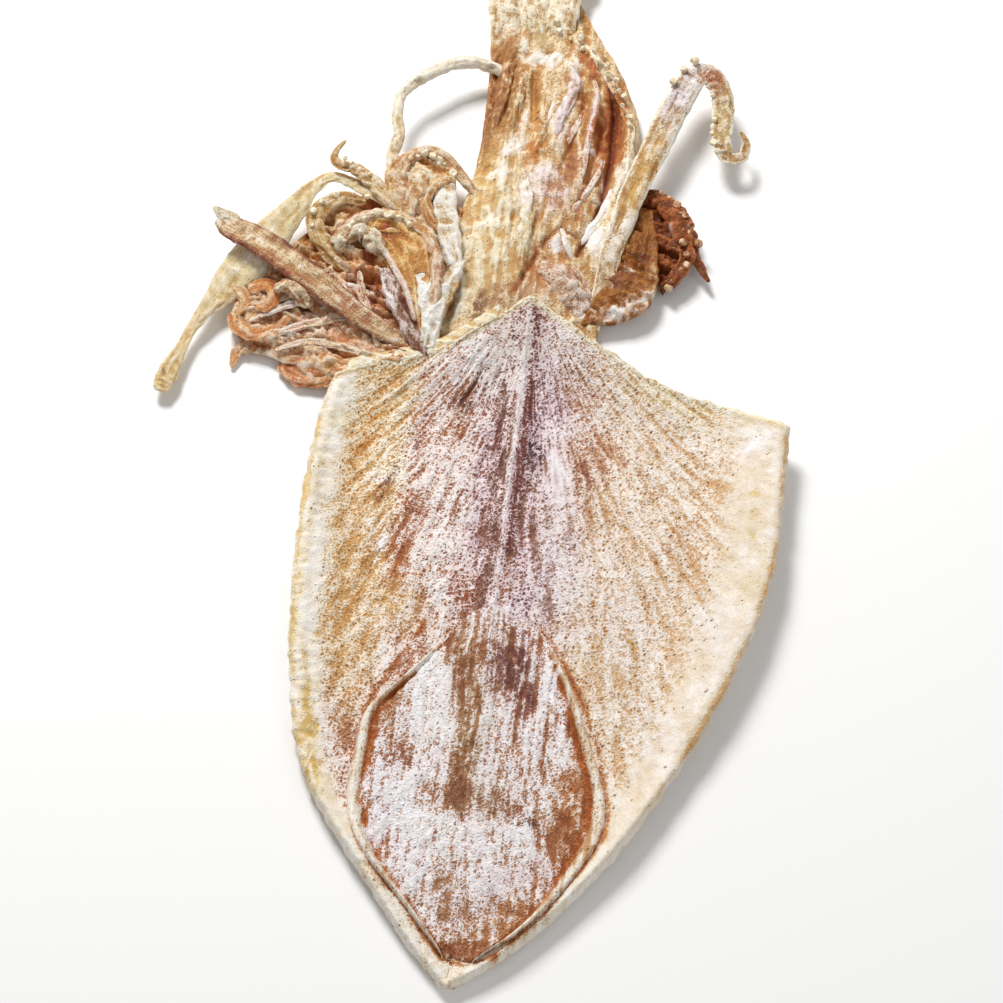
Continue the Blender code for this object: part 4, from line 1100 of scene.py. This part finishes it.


# the mat's white crests along its wrinkles are partly bloom and partly painted glints
MAT_SKIN = dried_skin("mat_of_arms", fibre_width=0.6, fibre_length=5.0, crumb=0.7, contrast=0.9,
                      ridge=1.0, depth=0.8, gloss=0.18, glow=0.2)
dried_web("left_web", ((-30, 177, 4.2), (-45, 172.5, 4.2), (-60, 172, 4), (-68, 176, 3.8),
          (-78, 179.5, 3.4), (-88, 186, 3.4)), ((-24, 234, 6), (-37, 241, 7.5), (-50, 238, 7.5),
          (-61, 231.5, 7), (-72, 218, 6), (-88, 199, 5)), 2.6, 1.2, MAT_SKIN, (220, 146, 90),
          (242, 200, 150), -0.3, BUNDLE_PATCHES, rough=1.9, size=(160, 140), turn=75.0)
BUNDLE_ARMS = (
    ("strand_top", ((-32, 192, 2.8), (-44, 190, 5.3), (-57, 193, 5.8), (-67, 197.5, 5.8), (-74, 199.5, 5.8),
     (-80, 196, 5.3), (-81, 189.5, 4.8), (-76.5, 185.5, 4.3), (-71.5, 188, 4.3)),
     (2.5, 3.5, 3, 2.75, 2.75, 2.75, 2.5, 2.125, 1), (214, 144, 96), (238, 196, 154), -0.3),
    ("strand_middle", ((-30, 182, 1.8), (-42, 184, 4.3), (-57, 186, 4.8), (-68, 189, 4.8),
     (-77, 187.5, 4.3), (-86, 190.5, 3.8)), (3, 4.75, 4.75, 4, 2.75, 1.125), (216, 142, 98),
     (240, 200, 162), -0.35),
    ("strand_low", ((-36, 181, 1.8), (-48, 178.5, 3), (-60, 178, 3), (-72, 180.5, 2.8), (-80, 181, 2.4),
     (-84.5, 178, 1.8), (-85.2, 173.2, 1.2)), (2.5, 3.75, 4, 3.5, 2.75, 1.625, 0.625), (222, 158, 108),
     (240, 204, 162), -0.3),
    ("stub", ((-44, 179, 1.4), (-55, 174.5, 2.4), (-64, 172, 2.2), (-71, 177, 1.8)), (3, 4, 4, 2),
     (210, 134, 84), (234, 188, 144), -0.35),
    ("thread_high", ((-46, 199, 7.2), (-56, 201, 7.8), (-64, 196, 7.8), (-73, 192, 7.2), (-82, 187, 5.8)),
     (1, 1.25, 1.125, 1.125, 0.625), (200, 124, 92), (242, 218, 200), 0.4),
    ("thread_middle", ((-40, 190, 6.8), (-52, 191, 7.2), (-62, 188, 7), (-72, 184, 6.4), (-79, 183, 5.3)),
     (1, 1.25, 1.25, 1.125, 0.625), (196, 116, 80), (240, 212, 190), 0.3),
    ("thread_low", ((-40, 178, 5), (-52, 181, 6), (-63, 181.5, 6.2), (-73, 178.5, 5)),
     (0.875, 1.125, 1.125, 0.625), (206, 134, 90), (242, 214, 182), 0.3),
    ("thread_cross", ((-52, 207, 7.8), (-50, 199, 8.2), (-46.5, 191, 7.8), (-43, 182, 5.8)),
     (0.625, 1.125, 1.125, 0.75), (196, 124, 84), (240, 212, 184), 0.2),
    ("thread_long", ((-60, 208, 7.8), (-66, 201, 7.6), (-74, 195, 6.8), (-84, 193, 5.4)),
     (0.625, 1.125, 1, 0.5), (206, 132, 88), (240, 206, 170), 0.1),
    ("curl_inner", ((-84, 197, 6.4), (-79, 199.5, 7.4), (-75.5, 196, 7.8), (-77, 191.5, 7.4),
     (-81, 191.5, 6.8)), (1.75, 2, 1.875, 1.5, 0.75), (218, 141, 80), (236, 186, 130), -0.35),
    ("curl_low", ((-88, 190, 4.8), (-84, 184.5, 5.4), (-78, 182.5, 5.8), (-73, 185, 6.2),
     (-70, 189.5, 6.8)), (1.5, 2.25, 2.25, 2, 1), (222, 152, 100), (236, 192, 146), -0.3),
    ("curl_edge", ((-91, 193, 4.8), (-87.5, 197.5, 5.8), (-84, 193.5, 6), (-86, 188.5, 5.6)),
     (1.25, 1.875, 1.875, 0.875), (224, 160, 104), (236, 196, 146), -0.3),
)
for number, (name, route, half_widths, stain, bloom, cover) in enumerate(BUNDLE_ARMS):
    dried_limb("arm_" + name, route, half_widths, 0.34, MAT_SKIN, stain, bloom, cover,
               BUNDLE_PATCHES[:6], edge=0.15, wrinkle=0.9, keel=1.5, trough=0.7, pattern=5 + number)


# ------------------------------------------------------------------------------------------
# The flat arm. A strap of flesh that lies over the left bundle to a torn, flared tip; tan, with
# thin purple-brown edges.
# ------------------------------------------------------------------------------------------

STRAP_SKIN = dried_skin("strap_flesh", fibre_width=0.7, fibre_length=22.0, crumb=0.9, contrast=0.9,
                        ridge=0.7, depth=0.5, gloss=0.32)
dried_limb("arm_flat", ((-29, 185, 3), (-41, 187, 7), (-51, 191.5, 9.5), (-59, 196.5, 11), (-68, 202.3, 12),
           (-76.5, 207.8, 12), (-84, 212.4, 12), (-90.6, 215.2, 12), (-96, 218.6, 12)),
           (2.4, 3.2, 3.6, 4.2, 4.5, 4.6, 4.4, 4, 2.6), 0.36, STRAP_SKIN, (180, 133, 86), (213, 182, 139),
           -0.1, ((-95, 219, 3, 4, 0, 0.9, None, (220, 210, 182)), (-88, 209.5, 1.4, 6, 66, -0.8,
           (186, 106, 68)), (-72.5, 211, 1.4, 6, 62, -1.4, (96, 60, 62)), (-64, 205, 1.2, 6, 62, -0.9,
           (130, 84, 70)), (-74, 202, 1.8, 9, 62, -1.1, (176, 100, 66)), (-78, 209, 1.4, 10, 62, 0.6, None,
           (232, 206, 160)), (-52, 193, 3, 9, 62, -0.3, (180, 116, 80), (232, 206, 176))), edge=-0.7,
           edge_stain=(150, 86, 70), wrinkle=0.4, keel=1.5, trough=0.6, pattern=20)
dried_limb("arm_flat_torn_corner", ((-90, 217, 12), (-94.5, 219.6, 12.3), (-98, 221.8, 12.7)),
           (2.6, 2, 0.6), 0.3, STRAP_SKIN, (170, 146, 110), (210, 194, 160), 0.0, wrinkle=0.3, pattern=19)
dried_limb("arm_flat_knot", ((-64, 192.5, 8), (-67, 195, 9.6), (-71, 197.4, 10), (-76, 197, 8.5)),
           (1.4, 2.4, 2.4, 1.2), 0.7, STRAP_SKIN, (190, 128, 86), (232, 206, 168), 0.0, wrinkle=1.6,
           pattern=18)


# ------------------------------------------------------------------------------------------
# The arched arm. An arm bent round into an arch, with its golden membrane dried inside the
# bend, a white lump of powder, a grey fold and a white collar of skin where it meets the head.
# ------------------------------------------------------------------------------------------

COLLAR_STEPS = np.linspace(-0.93, -0.16, 9)
collar_x = COLLAR_STEPS * mantle_half_width(COLLAR_STEPS, np.ones(9))
collar_y = curve(FRONT_EDGE, COLLAR_STEPS)
collar_z = mantle_lift(COLLAR_STEPS, np.ones(9)) + SHEET_THICKNESS
MEMBRANE_SKIN = dried_skin("golden_membrane", fibre_width=0.9, fibre_length=7.0, crumb=1.0,
                           contrast=0.6, ridge=0.9, depth=0.5, gloss=0.24, glow=0.25)
dried_web("torn_collar", tuple(zip(collar_x, collar_y - 2.0, collar_z + 0.2)),
          tuple(zip(collar_x + 0.5, collar_y + 3.0, collar_z + 0.4)), 1.4, 0.4, MEMBRANE_SKIN,
          (226, 192, 130), (238, 222, 184), 0.2, rough=0.3, size=(160, 24), pattern=150)
dried_limb("arm_arched", ((-27, 186, 4), (-28, 197, 9), (-28.4, 206, 10.5), (-30.2, 214, 11),
           (-34.5, 221, 11), (-41, 225, 11), (-48.5, 226, 10.8), (-56, 222.5, 10.2), (-60.5, 216.5, 9)),
           (1.4, 1.7, 1.8, 1.8, 1.6, 1.6, 1.8, 2.2, 1.4), 0.7, MAT_SKIN, (200, 134, 90), (232, 200, 166),
           0.0, BUNDLE_PATCHES[13:16], wrinkle=0.5, pattern=21)
dried_web("arch_membrane", ((-28, 187, 7), (-28.6, 206, 10), (-34.5, 220, 10.5), (-48, 225, 10.3),
          (-57, 220, 9.5)), ((-34.9, 186.6, 6.5), (-42, 200, 8), (-44.5, 210, 8.5), (-49, 216, 8.8),
          (-55.5, 217.6, 9)), 1.8, 1.0, MEMBRANE_SKIN, (190, 128, 60), (222, 180, 112), -0.45, ((-46, 221,
          6, 2, 60, -1, (200, 106, 50)), (-34, 196, 2, 10, 0, 0.3, None, (238, 210, 160))), rough=0.7,
          pleats=4.2, pattern=130, turn=-20.0)
dried_limb("arch_inner_edge", ((-53, 218, 9.6), (-46, 214, 10.4), (-41, 207, 10.6), (-36.5, 199, 10.4),
           (-33, 190, 9.4)), (0.6, 0.9, 1, 0.9, 0.6), 0.8, MAT_SKIN, (206, 134, 96), (242, 218, 198), 0.3,
           wrinkle=0.4, pattern=22)
dried_limb("arch_white_lump", ((-59, 212, 8.6), (-56.5, 216.5, 10), (-52, 218, 10.8), (-48, 215, 10.4),
           (-45, 211, 9.4)), (1.2, 2.4, 2.8, 2.4, 1.2), 0.8, MAT_SKIN, (192, 142, 92), (240, 226, 194), 0.0,
           wrinkle=1.6, specks=0.35, pattern=23)
dried_web("grey_fold", ((-46.5, 208.5, 8.5), (-42.2, 197, 8.5), (-33, 182, 7.5)), ((-41.5, 208, 9.5),
          (-34, 194, 9), (-27.6, 180, 7.9)), 1.8, 0.8, MAT_SKIN, (156, 108, 88), (214, 190, 178), -0.3,
          ((-43, 201, 1.6, 8, 20, 0.7, None, WHITE_BLOOM), (-36, 197, 2, 3, 0, -1.2, (130, 60, 42))),
          rough=0.7, pleats=2.2, pattern=134)
dried_web("white_collar", ((-35.5, 206, 10), (-32.5, 196, 9.8), (-31, 188, 9.3), (-29.6, 181.5, 8.4)),
          ((-20.5, 214, 9.5), (-22.5, 203, 9), (-25, 193, 8.2), (-25.6, 182, 7.6)), 1.8, 0.6, MAT_SKIN,
          (214, 178, 126), (244, 236, 220), 0.7, ((-22.6, 197, 1.6, 9, 0, -1.2, (216, 158, 72),
          (240, 208, 140)),), rough=0.7, pleats=2.4, pattern=138)


# ------------------------------------------------------------------------------------------
# The arms behind the arch. Short bent arms with knobbed edges that stand over the skin between
# the arch and the head: a loop, a hook with a thin bare tip, and a pale one folded back.
# ------------------------------------------------------------------------------------------

ARCH_ARMS = (
    ("looped", ((-25, 231, 4), (-36, 232, 8), (-43, 237.5, 10), (-43.5, 246, 11), (-38, 251, 11),
     (-32, 250, 10), (-26.5, 245.5, 8), (-20, 240, 5)), (1.6, 2.6, 2.6, 2.2, 1.8, 1.8, 1.8, 1.4), 0.55,
     (202, 144, 98), (234, 202, 160), -0.1),
    ("hooked", ((-32, 226, 4), (-44, 231, 9), (-52.5, 238, 10), (-58, 241.8, 11), (-63, 242.2, 12),
     (-65, 246, 12), (-62, 251, 13)), (1.8, 2.6, 2.4, 2.1, 1.6, 1.1, 0.4), 0.5, (196, 148, 88),
     (226, 196, 148), -0.1),
    ("folded_back", ((-54, 207, 7), (-61, 212, 8.4), (-66.5, 219, 9), (-67, 226, 9.4), (-61, 231, 9.6),
     (-53, 231.5, 9)), (1.6, 2.4, 2.8, 2.8, 2.4, 1.4), 0.45, (188, 142, 82), (220, 190, 138), -0.2),
    ("upright", ((-46, 228, 8), (-45.5, 235, 9.6), (-46.5, 242, 10.4), (-44, 249, 10.6)),
     (1.8, 2.4, 2, 0.8), 0.5, (208, 146, 80), (232, 198, 146), -0.2),
    ("folded_skin", ((-41, 227, 8.5), (-40, 234, 9.6), (-38.5, 240, 10), (-36, 246, 9)),
     (2.2, 3.4, 3.2, 1.6), 0.45, (204, 146, 84), (236, 210, 172), -0.05),
    ("amber_cup", ((-28, 222, 8), (-33, 227, 9.2), (-35.5, 233.5, 9.6), (-33, 240, 9.4), (-28, 243, 8.6)),
     (1, 1.6, 1.7, 1.5, 0.9), 0.6, (206, 144, 84), (236, 202, 152), -0.15),
    ("beside_head", ((-31, 249, 7), (-30.5, 240, 8), (-28.5, 229, 8.4), (-25.5, 218, 8.8),
     (-22.5, 208, 8.6)), (1.6, 3.2, 3.4, 3, 1.6), 0.36, (210, 170, 116), (242, 232, 212), 0.35),
    ("under_arch", ((-36, 213, 9.6), (-38, 220, 10), (-44, 221, 9.8), (-50, 221, 9.4)),
     (0.9, 1.2, 1.2, 0.8), 0.7, (214, 144, 72), (238, 194, 128), -0.2),
)
for number, (name, route, half_widths, flatness, stain, bloom, cover) in enumerate(ARCH_ARMS):
    dried_limb("arm_" + name, route, half_widths, flatness, MAT_SKIN, stain, bloom, cover,
               wrinkle=0.7, trough=0.3, pattern=24 + number)
dried_web("loop_skin", ((-43, 236, 8), (-36, 237, 8.6), (-27, 240, 8)), ((-43.5, 245, 9.6),
          (-37.5, 249.8, 10), (-28, 247, 8.8)), 1.4, 0.6, MEMBRANE_SKIN, (206, 146, 84), (232, 202, 152),
          -0.1, rough=0.8, size=(50, 40), pattern=154)


# ------------------------------------------------------------------------------------------
# The tentacles. The left one leaves the bundle as a cord, widens to a clear, pale web and ends
# in a small club; the other is a pale cord that loops back behind the head.
# ------------------------------------------------------------------------------------------

CORD_SKIN = dried_skin("pale_cord", fibre_width=1.0, fibre_length=8.0, crumb=0.9, contrast=0.45,
                       ridge=0.6, depth=0.35, gloss=0.3, glow=0.25)
dried_limb("tentacle_left", ((-30, 222, 4), (-44, 231, 8), (-56, 236.5, 9), (-64, 239, 9.5), (-70, 234, 10),
           (-75.5, 224.5, 9), (-82.5, 212.5, 7), (-89.5, 200.8, 5.5), (-96, 189.3, 5), (-100, 178.3, 4.2),
           (-103.2, 167, 4), (-103.5, 161.5, 3.6)),
           (1.6, 2.2, 2, 1.8, 2.6, 4.6, 6.8, 5.8, 2.4, 1.7, 3.2, 1.8), 0.34, CORD_SKIN, (194, 160, 102),
           (216, 196, 150), 0.3, ((-82, 211, 6, 8, 20, 0.5, None, (230, 220, 186)), (-103, 164, 4, 6, 0,
           -0.5, (204, 162, 100), (228, 206, 156)), (-104, 168, 1, 1, 0, -1.2, (110, 90, 70)), (-98, 178,
           2.5, 8, 15, -0.4, (208, 158, 98), (232, 208, 162)), (-91, 192, 3, 5, 0, -0.2, (206, 158, 100),
           (230, 206, 164))), edge=0.3, wrinkle=0.5, keel=1.3, trough=0.35, pattern=32)
dried_limb("tentacle_pale", ((-38, 224, 4), (-45.5, 236, 8), (-47.5, 248, 9.5), (-46.8, 257, 10),
           (-48.5, 266, 10.5), (-46.8, 274.5, 10.5), (-39.5, 282.3, 10.5), (-30.5, 288.2, 9.5),
           (-21, 289, 7), (-12, 286, 4)), (1.5, 1.9, 1.9, 1.8, 1.7, 1.9, 2.1, 2.2, 1.9, 1.4), 0.75,
           CORD_SKIN, (196, 172, 130), (232, 222, 198), 0.5, ((-47, 256, 3, 8, 0, -0.5, (196, 160, 108),
           (224, 204, 166)),), edge=0.2, wrinkle=0.5, pattern=33)


# ------------------------------------------------------------------------------------------
# The right arm, the flap and the cluster. A flat arm that leans away from the head, bends over
# and hangs in a curl; under it a thin brown flap of skin, and a dark knotted arm beyond it.
# ------------------------------------------------------------------------------------------

RIGHT_ARM_SKIN = dried_skin("right_arm_flesh", fibre_width=0.8, fibre_length=8.0, crumb=0.9,
                            contrast=0.9, ridge=0.8, depth=0.6, gloss=0.34)
dried_limb("arm_right", ((18, 196, 3), (20.5, 210, 6), (22.8, 225, 8), (26.3, 241, 9.5), (30.3, 255, 10),
           (35, 270.5, 11), (40, 284, 12), (45, 290, 12), (50, 286, 11.2), (52, 276, 9.5), (52.2, 267, 8.8),
           (54, 261, 8.3), (58.5, 261.5, 8), (60, 266.5, 8.5), (57.5, 271, 9)),
           (2.2, 2.8, 3.4, 3.8, 4.2, 4.5, 4.4, 3.8, 3.4, 3.4, 3, 2.2, 1.7, 1.2, 0.5), 0.4, RIGHT_ARM_SKIN,
           (184, 138, 80), (218, 196, 166), -0.15, ((38, 282, 7, 15, -22, 0.6, (170, 138, 122),
           (218, 204, 204)), (28, 248, 2.4, 18, -16, -0.5, (216, 168, 94), (240, 212, 150)), (24, 228, 3, 8,
           -10, 0.4, None, (244, 234, 222)), (48, 287, 3.4, 4.4, 0, -0.9, (190, 116, 84), (226, 190, 172)),
           (52, 272, 5, 10, 0, -0.2, (204, 172, 118), (234, 216, 174))), edge=0.8,
           edge_bloom=(246, 230, 196), wrinkle=0.6, keel=1.2, trough=0.5, pattern=34)
FLAP_SKIN = dried_skin("brown_flap", fibre_width=1.0, fibre_length=6.0, crumb=1.0, contrast=0.5,
                       ridge=0.7, depth=0.5, gloss=0.26, glow=0.2)
dried_web("right_flap", ((15, 197, 5), (19, 210, 6), (23, 227, 6.5), (27, 242, 6.5)), ((25, 199, 4.8),
          (34.5, 205, 6), (36.6, 218, 6.5), (33, 241, 6)), 1.8, 0.8, FLAP_SKIN, (152, 90, 26),
          (180, 122, 54), -0.6, ((31, 205, 6, 3, 20, 1.3, None, (236, 218, 202)), (24, 201, 5, 3, 20, 1.3,
          None, (238, 222, 208)), (25, 214, 3, 3, 0, -0.8, (144, 84, 40)), (35, 216, 1.4, 9, 5, 0.8, None,
          (226, 192, 146)), (28, 216, 2, 1.6, 0, 1, None, (236, 206, 180))), rough=0.9, pattern=142)
dried_web("cluster_web", ((27, 248, 3.5), (38, 242, 4.6), (44, 233, 4.8), (44.5, 224, 4.2)), ((28, 234, 4),
          (33, 226, 4.4), (36, 218, 4), (38.5, 212, 3.4)), 2.0, 0.6, FLAP_SKIN, (120, 56, 8), (170, 96, 38),
          -0.55, rough=1.4, pattern=146)
CLUSTER_ARMS = (
    ("curled", ((24, 245, 3), (33, 245.5, 5), (39.5, 239.5, 5.5), (43.8, 232.8, 5.2), (46, 227, 4.8),
     (49.5, 221, 4.2), (52, 217, 4)), (2, 3, 3.4, 3.2, 2, 1.1, 0.5)),
    ("knot", ((38, 213, 3.4), (41.5, 217, 5), (44.5, 223, 5.6), (42, 229, 6), (38, 226, 6)),
     (1.4, 2, 2, 1.6, 0.8)),
)
for number, (name, route, half_widths) in enumerate(CLUSTER_ARMS):
    dried_limb("arm_" + name, route, half_widths, 0.65, FLAP_SKIN, (120, 56, 8), (178, 100, 40), -0.55,
               edge=0.5, wrinkle=1.0, trough=0.3, pattern=36 + number)


# ------------------------------------------------------------------------------------------
# The suckers. Small dried cups in rows along the arms' edges: a ball of flesh with a dimple in
# its face, cream to pink, each sitting in the arm's skin.
# ------------------------------------------------------------------------------------------

SUCKER_SKIN = dried_skin("sucker_cups", crumb=1.1, contrast=0.5, depth=0.2, gloss=0.4, glow=0.2)
SUCKER_SCATTER = 0.5
SUCKER_ZIGZAG = 0.9
DIMPLE_RIM = 0.8
DIMPLE_FLOOR = 0.45
HEAD_CREST = ((-6, 309, 9), (3, 303, 9.4), (12, 294, 9.6), (19.5, 283, 9.6), (25, 270, 8.6))
SUCKER_ROWS = (
    # an arm's middle line, (start, end), how many, sideways and upward offsets, radius
    (limb_routes["arm_right"][4:8], (0.62, 0.98), 3, -4.0, 2.2, 1.6),
    (limb_routes["arm_right"][8:12], (0.1, 0.9), 6, 2.4, 1.0, 1.2),
    (limb_routes["arm_arched"][3:9], (0.3, 1), 13, -1.2, 1.5, 1.2),
    (limb_routes["arm_looped"][2:7], (0.1, 0.95), 9, 1.8, 0.6, 1.4),
    (limb_routes["arm_hooked"][1:5], (0.1, 0.9), 6, 0.8, 1.2, 1.1),
    (limb_routes["arm_curled"][1:5], (0.05, 0.95), 9, -2.2, 1.2, 1.5),
    (limb_routes["arm_knot"][0:4], (0.1, 0.9), 6, 0.6, 1.2, 1.3),
    (limb_routes["arm_end_right"][1:5], (0.1, 0.9), 8, 3.0, 1.2, 1.3),
    (HEAD_CREST, (0, 1), 17, 0.0, 0.0, 1.1),
    (limb_routes["arm_folded_back"][2:6], (0.1, 1), 6, -1.0, 1.6, 1.1),
)
cups = bmesh.new()
seeded = np.random.default_rng(7)
for route, (start, end), count, beside, above, radius in SUCKER_ROWS:
    middle, side, up = limb_frame(route, np.linspace(start, end, count))
    centres = middle + side * beside + up * above + seeded.normal(0.0, SUCKER_SCATTER, (count, 3))
    for number, centre in enumerate(centres):
        size = radius * seeded.uniform(0.5, 1.1)
        centre = centre + side[number] * (SUCKER_ZIGZAG * (-1) ** number if beside == 0.0 else 0.0)
        ball = bmesh.ops.create_icosphere(cups, subdivisions=2, radius=1.0)["verts"]
        facing = Vector(seeded.normal(0.0, 0.5, 3)) + Vector((0.0, -0.3, 1.0))
        facing.normalize()
        for vert in ball:
            face_on = vert.co.dot(facing)
            if face_on > DIMPLE_RIM:
                vert.co -= facing * (face_on - DIMPLE_FLOOR)
            vert.co = Vector(placed(*(centre + np.array(vert.co) * size)))
suckers = finished("sucker_cups", cups)
x, y = local_points(suckers)
sucker_coat = coat_of(len(x), (214, 172, 118), (240, 226, 192), 0.4, specks=0.05)
lay_patches(x, y, ((42, 232, 12, 20, 0, -0.9, (160, 92, 56), (206, 148, 106)),), sucker_coat)
settle(suckers, sucker_coat, SUCKER_SKIN)


# ------------------------------------------------------------------------------------------
# The floor, the light and the camera: a plain white floor, a broad soft light from the upper
# left, and a camera that looks down on the squid from beyond its tail. The floor and the lights
# are measured in metres, the camera's distance and target in mm.
# ------------------------------------------------------------------------------------------

VIEW_TURN = 6.4
VIEW_DOWN = 62.0
VIEW_DISTANCE = 552.0
VIEW_TARGET = (-1.7, 138.6)

floor_mesh = bmesh.new()
bmesh.ops.create_grid(floor_mesh, x_segments=2, y_segments=2, size=3.0)
floor = finished("studio_floor", floor_mesh)
floor_paint = bpy.data.materials.new("white_floor_paint")
floor_paint.use_nodes = True
floor_tree = floor_paint.node_tree
floor_shader = floor_tree.nodes["Principled BSDF"]
floor_mottle = centred_noise(floor_tree, add(floor_tree, "ShaderNodeTexCoord").outputs["Object"],
                             40.0, 3.0, 0.05)
floor_colour = blended(floor_tree, maths(floor_tree, "ADD", floor_mottle, 0.5),
                       tint(250, 249, 248), tint(253, 253, 252))
floor_tree.links.new(floor_colour, floor_shader.inputs["Base Color"])
floor_shader.inputs["Roughness"].default_value = 0.7
floor.data.materials.append(floor_paint)

sky = bpy.data.worlds.new("studio_sky")
sky.use_nodes = True
sky.node_tree.nodes["Background"].inputs["Color"].default_value = (1.0, 1.0, 1.0, 1.0)
sky.node_tree.nodes["Background"].inputs["Strength"].default_value = 0.34
bpy.context.scene.world = sky


def softbox(name, place, aim, size, power):
    """A square light of its own size, turned to its aim."""
    light = bpy.data.lights.new(name, "AREA")
    light.shape = "SQUARE"
    light.size = size
    light.energy = power
    lamp = bpy.data.objects.new(name, light)
    lamp.location = place
    lamp.rotation_euler = (Vector(aim) - Vector(place)).to_track_quat("-Z", "Y").to_euler()
    bpy.context.scene.collection.objects.link(lamp)


softbox("window_light", (-0.32, 0.62, 0.74), (0.0, 0.0, 0.0), 0.3, 10.2)
softbox("fill_light", (0.6, -0.5, 0.8), (0.0, 0.0, 0.0), 0.7, 1.6)

camera_data = bpy.data.cameras.new("camera")
camera_data.lens = 70.0
camera_data.sensor_width = 36.0
camera = bpy.data.objects.new("camera", camera_data)
turn, down = math.radians(VIEW_TURN), math.radians(VIEW_DOWN)
look = Vector((-math.sin(turn) * math.cos(down), math.cos(turn) * math.cos(down), -math.sin(down)))
target = Vector(placed(*VIEW_TARGET, 0.0))
camera.location = target - look * VIEW_DISTANCE * MM
camera.rotation_euler = look.to_track_quat("-Z", "Y").to_euler()
bpy.context.scene.collection.objects.link(camera)
bpy.context.scene.camera = camera
bpy.context.scene.view_settings.view_transform = "Standard"
